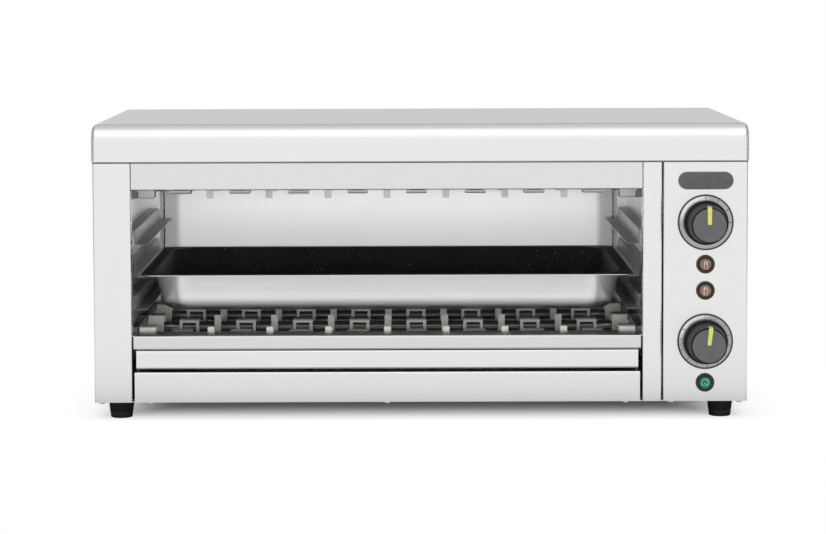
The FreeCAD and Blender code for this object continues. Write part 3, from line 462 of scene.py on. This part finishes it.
def outline_ring(half_x, half_y, radius, z, steps=10):
    """A round-cornered ring of points about the pan's middle, in millimetres."""
    ring = []
    for quarter, (side_x, side_y) in enumerate(((1, 1), (-1, 1), (-1, -1), (1, -1))):
        for step in range(steps + 1):
            angle = math.pi / 2 * (quarter + step / steps)
            ring.append((pan_x + side_x * (half_x - radius) + radius * math.cos(angle),
                         pan_y + side_y * (half_y - radius) + radius * math.sin(angle), z))
    return ring


def join_rings(bm, loops):
    """Joins each ring of points to the next one with faces."""
    for near, far in zip(loops, loops[1:]):
        for i in range(len(near)):
            bm.faces.new((near[i - 1], near[i], far[i], far[i - 1]))


def skin_rings(rings, closed=True):
    """A mesh through rings of equal point counts, in millimetres, with its ends closed or open."""
    bm = bmesh.new()
    loops = [[bm.verts.new(Vector(point) / 1000) for point in ring] for ring in rings]
    join_rings(bm, loops)
    if closed:
        bm.faces.new(loops[0][::-1])
        bm.faces.new(loops[-1])
    bmesh.ops.recalc_face_normals(bm, faces=bm.faces)
    return bm


def pan_wall(inset, top, floor, radius, lip):
    """Offsets and heights of one face of the wall, from the floor up to the flange's root."""
    lean = math.atan2(draft, pan_top - pan_foot)
    run = radius * math.tan((math.pi / 2 - lean) / 2)
    stations = []
    for step in range(9):
        angle = (math.pi / 2 - lean) * step / 8
        stations.append((-draft - inset - run + radius * math.sin(angle),
                         floor + radius * (1 - math.cos(angle))))
    for step in range(1, 5):
        angle = (math.pi / 2 - lean) * (1 - step / 4)
        stations.append((-inset + lip * (1 - math.sin(angle)), top - lip * (1 - math.cos(angle))))
    return [(offset, z, corner_r + offset) for offset, z in stations]


def speckled_coating():
    """Non-stick coating: near-black with 0.5 to 1 mm pale specks, and the low sheen of a baked
    fluoropolymer that breaks up over its fine orange-peel."""
    material, tree, shader, place = new_material("baked_nonstick_coating", Roughness=0.5,
                                                 Specular_IOR_Level=0.02)
    speck_mm = 2.6
    cells = add_node(tree, "TexVoronoi", {"Scale": 1000.0 / speck_mm}, {"Vector": place["Object"]})
    chosen = add_node(tree, "SeparateColor", links={"Color": cells.outputs["Color"]})
    size = ranged(tree, chosen.outputs["Red"], 0.62, 1.0, 0.0, 0.22, kind="LINEAR")
    speck = maths(tree, "GREATER_THAN", size, cells.outputs["Distance"])
    ground = toned(tree, noise(tree, place, 40.0), (0.0, "151516"), (1.0, "202023"))
    peel = noise(tree, place, 900.0)
    bump = add_node(tree, "Bump", {"Strength": 0.15, "Distance": 0.0002}, {"Height": peel})
    connect(tree, shader, {"Base Color": tinted(tree, speck, ground, "6a6a6c"), "Normal": bump})
    return material


inside = pan_wall(pan_sheet, pan_top, pan_foot + pan_sheet, floor_r - pan_sheet, 2.4)
outside = pan_wall(0.0, pan_top - pan_sheet, pan_foot, floor_r, 1.5)
edge = [(flange_w - 0.3, pan_top, flange_r), (flange_w, pan_top - 0.25, flange_r),
        (flange_w, pan_top - pan_sheet + 0.2, flange_r), (flange_w - 0.3, pan_top - pan_sheet, flange_r)]
rings = [outline_ring(pan_half_x - flange_w + offset, pan_half_y - flange_w + offset, radius, z)
         for offset, z, radius in inside + edge + outside[::-1]]
# Drawing leaves the wall bright and smooth. Within 15 mm of the floor its colour darkens, painted shade on the
# radius that faces down.
pan_stainless = brushed_stainless("drawn_stainless_pan_painted_shade", "f0f0ef", "e9e9e8", "X", roughness=0.24,
                                  streak_mm=2.2, streak_len_mm=60.0, metal=0.86)
dulled(pan_stainless, "Z", pan_foot / 1000, start=0.015, end=0.005, share=0.24)
pan = new_piece("drawn_pan", skin_rings(rings), pan_stainless, "pan", 50.0)
pan.data.materials.append(speckled_coating())
coated_faces, floor_face = len(inside) * len(rings[0]), (len(rings) - 1) * len(rings[0])
for face in pan.data.polygons:
    if face.index < coated_faces or face.index == floor_face:
        face.material_index = 1
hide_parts("gn_pan")


# Element guards: one stamped stainless strip over each quartz tube, in warm grey after heat, with
# windowed straps folded over the tube, upright tabs between them and a solid cover at each end.

def bent_strip(bm, x0, x1, path, thickness, bend):
    """Adds a strip of sheet bent along a path of (y, z) points; the metal lies inside the bends."""
    outer, inner = [], []
    for i, point in enumerate(path):
        here = Vector(point)
        if i in (0, len(path) - 1):
            run = (Vector(path[1]) - here) if i == 0 else (here - Vector(path[-2]))
            outer.append(here)
            inner.append(here + Vector((run.y, -run.x)).normalized() * thickness)
            continue
        before = (Vector(path[i - 1]) - here).normalized()
        after = (Vector(path[i + 1]) - here).normalized()
        middle = here + (before + after) * bend
        for s, c in quarter_turn(5):
            arm = -after * c - before * s
            outer.append(middle + arm * bend)
            inner.append(middle + arm * (bend - thickness))
    loop = outer + inner[::-1]
    near, far = [[bm.verts.new((x / 1000, y / 1000, z / 1000)) for y, z in loop] for x in (x0, x1)]
    join_rings(bm, [near, far])
    for i in range(len(outer) - 1):
        bm.faces.new((near[i], near[i + 1], near[-i - 2], near[-i - 1]))
        bm.faces.new((far[-i - 1], far[-i - 2], far[i + 1], far[i]))


def build_guard(name, upper, material):
    """Builds one guard from its node's box; the upper ones hang from the ceiling."""
    low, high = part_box(name)
    x_mid, half = (low.x + high.x) * 500, (high.x - low.x) * 500
    y0, y1 = low.y * 1000, high.y * 1000
    foot, tip = (high.z * 1000, low.z * 1000) if upper else (low.z * 1000, high.z * 1000)
    up = -1.0 if upper else 1.0
    sheet, bend, cover_bend, pitch, head_drop, bar = 1.0, 2.6, 1.8, 63.5, 5.0, 3.5
    strap_half, tab_half, cover_w, cover_inset = 11.0, 3.75, 17.4, 1.5
    head = tip - up * head_drop
    bm = bmesh.new()

    def channel(from_z, to_z):
        path = [(y0, from_z), (y0, to_z), (y1, to_z), (y1, from_z)]
        return path[::-1] if upper else path

    def plate(x, reach, y_far, z_far, soft_mm):
        near = Vector((x - reach, y0, min(foot, z_far)))
        far = Vector((x + reach, y_far, max(foot, z_far)))
        soft_block(bm, near / 1000, far / 1000, soft_mm)

    plate(x_mid, half, y1, foot + up * sheet, 0.2)
    for k in range(-4, 4):
        x = x_mid + (k + 0.5) * pitch
        for side in (-1, 1):
            x_bar = x + side * (strap_half - bar / 2)
            bent_strip(bm, x_bar - bar / 2, x_bar + bar / 2, channel(foot, head), sheet, bend)
        crown = channel(head - up * bar, head)
        bent_strip(bm, x - strap_half + bar, x + strap_half - bar, crown, sheet, bend)
    for k in range(-3, 4):
        plate(x_mid + k * pitch, tab_half, y0 + sheet, tip, 0.35)
    for side in (-1, 1):
        x = x_mid + side * (half - cover_inset - cover_w / 2)
        bent_strip(bm, x - cover_w / 2, x + cover_w / 2, channel(foot, tip), sheet, cover_bend)
    bmesh.ops.recalc_face_normals(bm, faces=bm.faces)
    piece = new_piece(name + "_stamping", bm, material, "casing")
    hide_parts(name)


# The lower guards catch crumbs and fat and have gone dull and warm; the upper ones stay brighter.
guard_stainless = brushed_stainless("stamped_stainless_guards", "b4b2ad", "a8a6a1", "X", roughness=0.42,
                                    metal=0.35)
upper_guard_stainless = brushed_stainless("stamped_stainless_upper_guards", "b0b0ae", "a4a4a2", "X",
                                          roughness=0.32, metal=0.75)
for guard_row in (1, 2, 3):
    build_guard("lower_guard_%d" % guard_row, False, guard_stainless)
    build_guard("upper_guard_%d" % guard_row, True, upper_guard_stainless)


# Knobs: moulded in black ABS with a round skirt and a tapered grip of shallow flutes. A yellow
# pointer moulded in a second shot runs from the cap over its edge and down the grip.

def turned_rings(profile, segments, waves=0, flute_depth=0.0, rib_height=0.0):
    """Rings of a turned form round the Y axis. The profile has a radius and a distance out for
    each ring, and its share of the flutes or ribs where it has any."""
    rings = []
    for radius, out, *share in profile:
        ring = []
        for i in range(segments):
            angle = 2 * math.pi * i / segments
            wave = sum(share) * (0.5 + 0.5 * math.cos(waves * angle))
            reach = radius - flute_depth * wave
            ring.append((reach * math.sin(angle), -out - rib_height * wave, reach * math.cos(angle)))
        rings.append(ring)
    return rings


def set_piece(bm, place, turn_deg=0.0):
    """Turns a form about the Y axis and moves it to its place, given in metres."""
    bm.transform(Matrix.Translation(place) @ Matrix.Rotation(math.radians(turn_deg), 4, "Y"))
    return bm


def moulded_plastic(name, tone, dark_tone, roughness, grain_mm, peel, **constants):
    """Moulded plastic: an even colour with a faint cloud, and the spark-eroded grain of the mould,
    drawn at its real pitch so that highlights look soft and slightly broken."""
    material, tree, shader, place = new_material(name, **constants)
    tones = toned(tree, noise(tree, place, 120.0), (0.3, dark_tone), (0.7, tone))
    grain = noise(tree, place, 1000.0 / grain_mm, 1.0)
    rough = ranged(tree, grain, 0.0, 1.0, roughness - 0.06, roughness + 0.06, kind="LINEAR")
    bump = add_node(tree, "Bump", {"Strength": peel, "Distance": 0.0001}, {"Height": grain})
    connect(tree, shader, {"Base Color": tones, "Roughness": rough, "Normal": bump})
    return material


knob_black = moulded_plastic("moulded_black_abs", "141516", "0f1011", 0.34, 0.6, 0.1,
                             Specular_IOR_Level=0.06)
cap_grey = moulded_plastic("satin_grey_abs_cap", "3d3e40", "38393b", 0.40, 0.6, 0.2)
pointer_yellow = moulded_plastic("moulded_yellow_abs", "96964c", "8c8c42", 0.40, 0.6, 0.15)
cap_out = 39.0
knob_profile = [(0.01, 22.0), (3.05, 22.0), (3.05, 0.0), (22.8, 0.0), (23.4, 0.6), (23.4, 7.6), (23.0, 8.5),
                (22.2, 8.95), (21.6, 9.0), (21.45, 9.8, 0.6), (21.3, 10.6, 1), (19.25, 36.4, 1),
                (19.1, 37.5, 0.8), (18.75, 38.3, 0.3), (18.2, 38.8), (17.5, cap_out), (17.3, cap_out),
                (0.01, cap_out)]
pointer_side = [(0.8, 39.4), (17.2, 39.4), (18.2, 39.2), (18.9, 38.6), (19.25, 37.7), (19.42, 36.6),
                (20.02, 30.0), (18.6, 30.0), (18.0, 36.0), (17.5, 37.6), (16.4, 38.3), (0.8, 38.3)]
pointer_half_w = [2.05] + [2.35] * 10 + [2.05]
knob_places = {}
for control, body, turn in (("selector", "selector", 0.0), ("timer", "timer_dial", 6.5)):
    low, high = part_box("shaft_" + control)
    place = Vector(((low.x + high.x) / 2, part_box("knob_" + control)[1].y, (low.z + high.z) / 2))
    knob_places[control] = place
    bm = skin_rings(turned_rings(knob_profile, 144, waves=24, flute_depth=0.12))
    knob = new_piece("knob_%s_moulding" % control, set_piece(bm, place, turn), knob_black, body,
                     38.0)
    knob.data.materials.append(cap_grey)
    for face in knob.data.polygons:
        if (place - face.center).y * 1000 > cap_out - 0.05:
            face.material_index = 1
    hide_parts("knob_" + control)
    bm = skin_rings([[(sign * w, -out, up) for (up, out), w in zip(pointer_side, pointer_half_w)]
                     for sign in (-1, 1)])
    rim = [e for e in bm.edges if e.is_manifold and e.calc_face_angle(0.0) > 1.2]
    bmesh.ops.bevel(bm, geom=rim, offset=0.00028, segments=2, affect="EDGES")
    pointer = new_piece("pointer_%s_inlay" % control, set_piece(bm, place, turn), pointer_yellow, body,
                        30.0)
    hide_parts("pointer_" + control)


# Shadow line: a dark strip 0.8 mm high along the lid's hem, on the front of the casing, painted shadow under
# the lid's lower edge. It shows as one even dark line under the lid.

shadow_line_black = moulded_plastic("painted_shadow_line", "1c1c1d", "141415", 0.5, 0.8, 0.2)
shadow_line_h, shadow_line_lap, shadow_line_end, shadow_line_front, shadow_line_back = 0.0008, 0.0002, 0.0014, 0.0002, 0.0014
bm = bmesh.new()
soft_block(bm, Vector((lid_low.x + shadow_line_end, lid_low.y + shadow_line_front, lid_low.z - shadow_line_h)),
           Vector((lid_high.x - shadow_line_end, lid_low.y + shadow_line_back, lid_low.z + shadow_line_lap)), 0.25)
new_piece("lid_painted_shadow_line", bm, shadow_line_black, "casing")


# Dial plates: anodised aluminium discs, 1 mm, behind the knobs, with a printed black rim and
# printed marks and plain numbers: four positions for the selector, minutes for the timer.

def print_on_dial(name, place, marks, labels):
    """Thin printed ink: radial marks (angle, inner radius, outer radius, width) and numbers."""
    bm = bmesh.new()
    y = -0.00003
    for angle_deg, r0, r1, width in marks:
        turn = Matrix.Rotation(math.radians(angle_deg), 4, "Y")
        corners = [(-width / 2, r0), (width / 2, r0), (width / 2, r1), (-width / 2, r1)]
        bm.faces.new([bm.verts.new(turn @ Vector((x / 1000, y, z / 1000))) for x, z in corners])
    for text, angle_deg, radius, height in labels:
        words = bpy.data.curves.new("number", "FONT")
        words.body = text
        words.size = height / 1000
        words.align_x, words.align_y = "CENTER", "CENTER"
        words.resolution_u = 3
        stand_in = bpy.data.objects.new("number", words)
        flat = bpy.data.meshes.new_from_object(stand_in)
        angle = math.radians(angle_deg)
        spot = Vector((radius / 1000 * math.sin(angle), y, radius / 1000 * math.cos(angle)))
        flat.transform(Matrix.Translation(spot) @ Matrix.Rotation(math.radians(90), 4, "X"))
        bm.from_mesh(flat)
        bpy.data.objects.remove(stand_in)
        bpy.data.curves.remove(words)
        bpy.data.meshes.remove(flat)
    new_piece(name, set_piece(bm, place), dial_ink, "casing")


def spun_aluminium():
    """Anodised aluminium with the round tool marks of a spun finish, which stretch its reflections into fans,
    and a painted highlight that turns its colour pale towards the upper left."""
    material, tree, shader, place = new_material("spun_anodised_aluminium_painted_highlight", Metallic=1.0, Anisotropic=0.75)
    flat = maths(tree, "MULTIPLY", place["Object"], (1.0, 0.0, 1.0), kind="VectorMath")
    radius = maths(tree, "LENGTH", flat, kind="VectorMath").outputs["Value"]
    groove_mm = 0.35
    grooves = add_node(tree, "TexNoise", {"Scale": 1000.0 / groove_mm, "Detail": 2.0}, {"W": radius},
                       noise_dimensions="1D")
    tones = toned(tree, grooves, (0.3, "a6a7a9"), (0.7, "bcbdbf"))
    outward = maths(tree, "NORMALIZE", flat, kind="VectorMath")
    # Painted highlight: the colour turns near-white towards the upper left.
    turned = maths(tree, "DOT_PRODUCT", outward, (-0.64, 0.0, 0.77), kind="VectorMath")
    painted_highlight_tone = tinted(tree, ranged(tree, turned.outputs["Value"], 0.55, 0.98), tones, "fafafb")
    rough = ranged(tree, grooves, 0.0, 1.0, 0.26, 0.36, kind="LINEAR")
    round_axis = add_node(tree, "Tangent", direction_type="RADIAL", axis="Y")
    connect(tree, shader, {"Base Color": painted_highlight_tone, "Roughness": rough, "Tangent": round_axis})
    return material


dial_metal = spun_aluminium()
dial_ink = moulded_plastic("screen_printed_ink", "2b2b2d", "222224", 0.5, 0.4, 0.1)
dial_r, dial_hole_r, dial_t, rim_w = 29.75, 6.0, 1.0, 1.9
dial_profile = [(dial_hole_r, 0.0), (dial_r, 0.0), (dial_r, dial_t - 0.25), (dial_r - 0.2, dial_t),
                (dial_r - rim_w, dial_t), (dial_hole_r, dial_t), (dial_hole_r, 0.0)]
selector_marks = [(a, 24.4, 26.6, 0.8) for a in (0, 30, 60, 90)]
selector_labels = [(str(a // 30), a, 27.4, 2.5) for a in (0, 30, 60, 90)]
timer_marks = [(a, 23.9, 25.3 if a % 25 else 26.2, 0.35 if a % 25 else 0.7) for a in range(0, 301, 5)]
timer_labels = [(str(m), m * 5, 27.3, 2.1) for m in range(0, 61, 5)]
panel_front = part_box("control_panel")[0].y
for control, marks, labels in (("selector", selector_marks, selector_labels),
                               ("timer", timer_marks, timer_labels)):
    place = Vector((knob_places[control].x, panel_front, knob_places[control].z))
    bm = skin_rings(turned_rings(dial_profile, 96), closed=False)
    bmesh.ops.remove_doubles(bm, verts=bm.verts, dist=1e-6)
    dial = new_piece("dial_%s_disc" % control, bm, dial_metal, "casing", place=place)
    dial.data.materials.append(dial_ink)
    for face in dial.data.polygons:
        if math.hypot(face.center.x, face.center.z) * 1000 > dial_r - rim_w - 0.05:
            face.material_index = 1
    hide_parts("dial_plates")
    print_on_dial("dial_%s_print" % control, place + Vector((0, -dial_t / 1000, 0)), marks, labels)


# Pilot lamps: a black snap-in bezel, a domed polycarbonate lens, amber above and green below, and behind it a
# ribbed reflector with a looped bulb that shows through, its near-white tone a painted highlight.

def clear_lens(name, tone, dark_tone):
    """Tinted polycarbonate: it lets most of what lies behind it through, with a sharp highlight."""
    material, tree, shader, place = new_material(name, Roughness=0.07, Alpha=0.25, Specular_IOR_Level=0.08)
    tones = toned(tree, noise(tree, place, 220.0), (0.0, dark_tone), (1.0, tone))
    connect(tree, shader, {"Base Color": tones})
    return material


def metallised_reflector(name, tone, dark_tone):
    """A thin metal coat on a ribbed plastic cup: short soft glints in the lamp's colour."""
    return brushed_stainless(name, tone, dark_tone, "Z", roughness=0.3, streak_mm=1.0, streak_len_mm=4.0,
                             metal=0.6)


def bent_rod(points, radius, sides=10):
    """A round rod through points in millimetres, in the plane of the panel."""
    rings = []
    for i, point in enumerate(points):
        ahead, behind = points[min(i + 1, len(points) - 1)], points[max(i - 1, 0)]
        run = (Vector(ahead) - Vector(behind)).normalized()
        across = Vector((0, 1, 0)).cross(run).normalized()
        rings.append([Vector(point) + across * radius * math.cos(2 * math.pi * k / sides)
                      + Vector((0, 1, 0)) * radius * math.sin(2 * math.pi * k / sides) for k in range(sides)])
    return skin_rings(rings)


def arc(radius, out, z_mid, from_deg, to_deg, steps):
    """Points along an arc in the plane of the panel, its angles counted from straight up."""
    turns = [math.radians(from_deg + (to_deg - from_deg) * k / steps) for k in range(steps + 1)]
    return [(radius * math.sin(t), -out, z_mid + radius * math.cos(t)) for t in turns]


bezel_black = moulded_plastic("moulded_black_polyamide", "1f1a18", "161211", 0.32, 0.5, 0.15)
# Painted highlight: the loop behind each lens is near-white, bright in the lamp's colour, though the lamps are
# off.
highlight_loop_out, highlight_loop_r = 2.3, 0.6
amber = {"lens": clear_lens("amber_polycarbonate", "3a1c12", "2c140c"),
         "cup": metallised_reflector("metallised_lamp_reflector", "dcbca6", "a47a62"),
         "glow": moulded_plastic("neon_bulb_painted_highlight", "fff4ec", "f4e6dc", 0.2, 1.0, 0.05),
         "path": [(-1.5, -highlight_loop_out, -4.0)] + arc(1.5, highlight_loop_out, 1.6, -90, 90, 12) + [(1.5, -highlight_loop_out, -4.0)]}
green = {"lens": clear_lens("green_polycarbonate", "0f4a40", "0a3a32"),
         "cup": metallised_reflector("metallised_green_reflector", "5cb8a6", "276a5b"),
         "glow": moulded_plastic("green_light_guide_painted_highlight", "a8f0e2", "8fe0d0", 0.2, 1.0, 0.05),
         "path": arc(3.6, highlight_loop_out, 0.0, -150, 150, 30) + [(-0.6, -highlight_loop_out, -0.4)]}
lamp_low, lamp_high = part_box("lamp_bezels")
lens_low, lens_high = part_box("lamp_lenses")
lamp_x = (lamp_low.x + lamp_high.x) / 2
lamp_r = (lamp_high.x - lamp_low.x) * 500
bezel_h = (lamp_high.y - lamp_low.y) * 1000
lens_rise = (lens_high.y - lens_low.y) * 1000
lens_r, lens_t, lamp_pitch = 7.2, 1.1, 0.028
bezel_profile = [(5.9, 0.0), (lamp_r, 0.0), (lamp_r, bezel_h - 0.9), (lamp_r - 0.35, bezel_h - 0.25),
                 (lamp_r - 0.9, bezel_h), (8.0, bezel_h), (7.5, bezel_h - 0.3), (7.0, bezel_h - 0.6),
                 (7.0, 0.8), (5.9, 0.8), (5.9, 0.0)]
dome = [(lens_r, 0.4), (lens_r, bezel_h - 0.1)]
dome += [(max(lens_r * c, 0.02), bezel_h - 0.1 + (lens_rise - 0.4) * s) for s, c in quarter_turn(8)[1:]]
inner_dome = [(max(r - lens_t, 0.02), out - lens_t if i > 1 else out) for i, (r, out) in enumerate(dome)]
# The reflector is a shallow cup, whose ribs fade towards its rim and its middle.
cup_profile = ((6.0, 0.4), (6.0, 1.5), (4.6, 1.0, 1), (2.4, 0.5, 0.8), (0.3, 0.45))
upper_z = lamp_high.z - lamp_r / 1000
for lamp, height, kind in (("power", lamp_low.z + lamp_r / 1000, green), ("upper", upper_z, amber),
                           ("lower", upper_z - lamp_pitch, amber)):
    place = Vector((lamp_x, panel_front, height))
    bm = skin_rings(turned_rings(bezel_profile, 72), closed=False)
    bmesh.ops.remove_doubles(bm, verts=bm.verts, dist=1e-6)
    bezel = new_piece("lamp_%s_bezel" % lamp, set_piece(bm, place), bezel_black, "casing")
    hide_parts("lamp_bezels")
    bm = skin_rings(turned_rings(dome + inner_dome[::-1], 72), closed=False)
    lens = new_piece("lamp_%s_lens" % lamp, set_piece(bm, place), kind["lens"], "casing",
                     50.0)
    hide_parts("lamp_lenses")
    bm = skin_rings(turned_rings(cup_profile, 96, waves=16, rib_height=0.4))
    new_piece("lamp_%s_reflector" % lamp, set_piece(bm, place), kind["cup"], "casing", 60.0)
    new_piece("lamp_%s_bulb" % lamp, set_piece(bent_rod(kind["path"], highlight_loop_r), place), kind["glow"], "casing",
              60.0)


# Oval plate: a bare pill-shaped plate above the upper knob, black under a clear glossy dome, with a
# narrow pale metal edge left showing all round it.

def pill_ring(half_w, half_h, out, steps=20):
    """A ring of points round a pill shape, in millimetres."""
    ring = []
    for side in (1, -1):
        for step in range(steps + 1):
            angle = -math.pi / 2 + math.pi * step / steps
            ring.append((side * (half_w - half_h) + side * half_h * math.cos(angle), -out,
                         side * half_h * math.sin(angle)))
    return ring


edge_metal = brushed_stainless("polished_plate_edge", "d8d9da", "c8c9ca", "X", roughness=0.22)
gloss_black = moulded_plastic("domed_black_lacquer", "3a3a3b", "333334", 0.12, 3.0, 0.02)
plate_low, plate_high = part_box("badge_plate")
place = Vector(((plate_low.x + plate_high.x) / 2, panel_front, (plate_low.z + plate_high.z) / 2))
plate_w, plate_h = (plate_high.x - plate_low.x) * 500, (plate_high.z - plate_low.z) * 500
plate_t = (plate_high.y - plate_low.y) * 1000
edge_steps = ((0.0, 0.0), (0.0, 0.35), (0.12, 0.5), (0.75, 0.5))
dome_steps = ((0.62, 0.45), (0.62, 0.7), (0.85, 0.9), (1.5, 1.05), (3.0, 1.14), (5.5, plate_t - 0.01))
bm = skin_rings([pill_ring(plate_w - inset, plate_h - inset, out) for inset, out in edge_steps])
plate_edge = new_piece("oval_plate_edge", set_piece(bm, place), edge_metal, "casing")
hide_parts("badge_plate")
bm = skin_rings([pill_ring(plate_w - inset, plate_h - inset, out) for inset, out in dome_steps])
new_piece("oval_plate_dome", set_piece(bm, place), gloss_black, "casing", 60.0)


# Quartz tubes: glass tubes over a wound heating coil, which darkens them; each end sits in a square
# ceramic holder.

def satin_quartz():
    """Quartz glass over a dark wound coil: warm dark grey, with the coil's turns as a faint band,
    under a clear surface that catches thin bright lines of light."""
    material, tree, shader, place = new_material("quartz_glass_tube", Roughness=0.10, Coat_Weight=1.0,
                                                 Coat_Roughness=0.05, Coat_IOR=2.6)
    coil_mm = 1.5
    turns = add_node(tree, "TexWave", {"Scale": 1000.0 / coil_mm / 20 * 3.1416 * 2, "Distortion": 0.4},
                     {"Vector": place["Object"]}, wave_type="BANDS", bands_direction="X")
    tones = toned(tree, turns.outputs["Fac"], (0.25, "2c2a28"), (0.75, "3a3734"))
    connect(tree, shader, {"Base Color": tones})
    return material


finish(satin_quartz(), *["%s_tube_%d" % (side, row) for side in ("lower", "upper") for row in (1, 2, 3)])
finish(moulded_plastic("steatite_ceramic", "e9e5dc", "d9d4c9", 0.55, 0.3, 0.3), "tube_end_caps")


# Feet: tapered rubber, moulded black with a thin collar line, under the corners of the base. A
# hexagon-headed screw up the recess of each one holds it.

rubber = moulded_plastic("moulded_black_rubber", "101012", "0a0a0c", 0.62, 0.5, 0.5)
feet_low, feet_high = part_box("feet")
foot_r, foot_sides = 0.014, 64
foot_profile = [(0.01, 11.0), (5.8, 11.0), (6.1, 1.0), (6.6, 0.25), (7.2, 0.0), (10.6, 0.0), (11.2, 0.25),
                (11.6, 1.0), (12.2, 5.5), (12.0, 5.9), (12.05, 6.6), (12.4, 6.9), (13.8, 18.6),
                (14.0, 19.6), (13.9, 20.0), (0.01, 20.0)]
foot_spots = {"foot_%s_%s" % (end, side): Vector((x, y, 0.0))
              for side, x in (("left", feet_low.x + foot_r), ("right", feet_high.x - foot_r))
              for end, y in (("front", feet_low.y + foot_r), ("rear", feet_high.y - foot_r))}
turns = [2 * math.pi * i / foot_sides for i in range(foot_sides)]
for name, place in foot_spots.items():
    bm = skin_rings([[(r * math.cos(turn), r * math.sin(turn), z) for turn in turns]
                     for r, z in foot_profile])
    foot = new_piece(name, set_piece(bm, place), rubber, "casing", 45.0)
    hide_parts("feet")


# Screws: zinc-plated pan heads with a cross recess, under the base's front edge and rear corners,
# on the back panel and on the lid's rear skirt, and a hexagon head inside each foot.

def cross_outline(arm, half_slot, points):
    """Radii of a plus sign seen from its middle."""
    radii = []
    for i in range(points):
        angle = 2 * math.pi * i / points
        c, s = max(abs(math.cos(angle)), 1e-6), max(abs(math.sin(angle)), 1e-6)
        radii.append(max(min(arm / c, half_slot / s), min(arm / s, half_slot / c)))
    return radii


def add_head(bm, seat, rings):
    """Adds a screw head: rings of radii and a height each, in millimetres, closed at the tip."""
    loops = []
    for radii, out in rings:
        step = 2 * math.pi / len(radii)
        spots = [Vector((r * math.cos(step * i), r * math.sin(step * i), out)) for i, r in enumerate(radii)]
        loops.append([bm.verts.new(seat @ (spot / 1000)) for spot in spots])
    join_rings(bm, loops)
    bm.faces.new(loops[-1])


def add_screw(bm, place, outward):
    """One pan head with its cross recess, looking along outward."""
    points = 32
    recess = cross_outline(1.9, 0.5, points)
    rings = [([radius] * points, out) for radius, out in
             ((3.3, 0.0), (3.5, 0.3), (3.5, 1.1), (3.2, 1.75), (2.6, 2.15), (2.2, 2.28))]
    rings += [(recess, 2.3), ([r * 0.8 for r in recess], 1.2)]
    turn = Vector((0, 0, 1)).rotation_difference(Vector(outward)).to_matrix().to_4x4()
    add_head(bm, Matrix.Translation(place) @ turn, rings)


def add_hexagon_head(bm, place, flats, height):
    """A hexagon head with its chamfered face down, in millimetres."""
    corner = flats / 2 / math.cos(math.pi / 6)
    add_head(bm, Matrix.Translation(place),
             [([radius] * 6, -drop) for radius, drop in
              ((corner, 0.0), (corner, height - 0.6), (corner * 0.9, height), (corner * 0.4, height))])


zinc = brushed_stainless("zinc_plated_steel", "d9dbe0", "b4b7bd", "X", roughness=0.28, streak_mm=0.8,
                         streak_len_mm=2.0, metal=0.6)
screw_bm = bmesh.new()
under_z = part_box("base_plate")[0].z
back_low, back_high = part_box("back_panel")
header_low, header_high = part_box("header_strip")
edge_x0, edge_x1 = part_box("side_panel_left")[0].x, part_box("side_panel_right")[1].x
corner_inset, post_inset, header_inset, panel_inset, row_inset = 0.0074, 0.0594, 0.0167, 0.0095, 0.007
back_inset, divider_inset, back_rises, lid_reach, lid_row = 0.0085, 0.0075, (0.030, 0.226), 0.25, 0.007
recess_h, hexagon_flats, hexagon_h = 0.011, 8.0, 3.5
front_xs = [edge_x0 + corner_inset, edge_x0 + post_inset, (header_low.x + header_high.x) / 2,
            header_high.x - header_inset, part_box("control_panel")[0].x + panel_inset, edge_x1 - corner_inset]
for x in front_xs:
    add_screw(screw_bm, Vector((x, panel_front + row_inset, under_z)), (0, 0, -1))
for x in (front_xs[0], front_xs[-1]):
    add_screw(screw_bm, Vector((x, back_low.y - row_inset, under_z)), (0, 0, -1))
for x in (edge_x0 + back_inset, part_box("divider_wall")[1].x - divider_inset, edge_x1 - back_inset):
    for rise in back_rises:
        add_screw(screw_bm, Vector((x, back_high.y, under_z + rise)), (0, 1, 0))
for x in (-lid_reach, lid_reach):
    add_screw(screw_bm, Vector((x, lid_high.y, lid_low.z + lid_row)), (0, 1, 0))
for place in foot_spots.values():
    add_hexagon_head(screw_bm, place + Vector((0.0, 0.0, recess_h)), hexagon_flats, hexagon_h)
bmesh.ops.recalc_face_normals(screw_bm, faces=screw_bm.faces)
screws = new_piece("casing_screws", screw_bm, zinc, "casing", 40.0)
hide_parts("screws")


# Inside the control box and at the rear: moulded switch, timer and terminal block, the black gland
# for the supply lead, and the plated control shafts.

finish(moulded_plastic("moulded_black_bakelite", "2c2b2a", "222120", 0.38, 0.8, 0.2), "selector_switch",
       "timer_unit")
finish(moulded_plastic("moulded_black_nylon", "2a2a2c", "202022", 0.5, 0.5, 0.3), "cable_gland")
finish(moulded_plastic("moulded_ivory_urea", "e4dcc6", "d8cfb6", 0.45, 0.8, 0.2), "terminal_block")
finish(zinc, "shaft_selector", "shaft_timer")
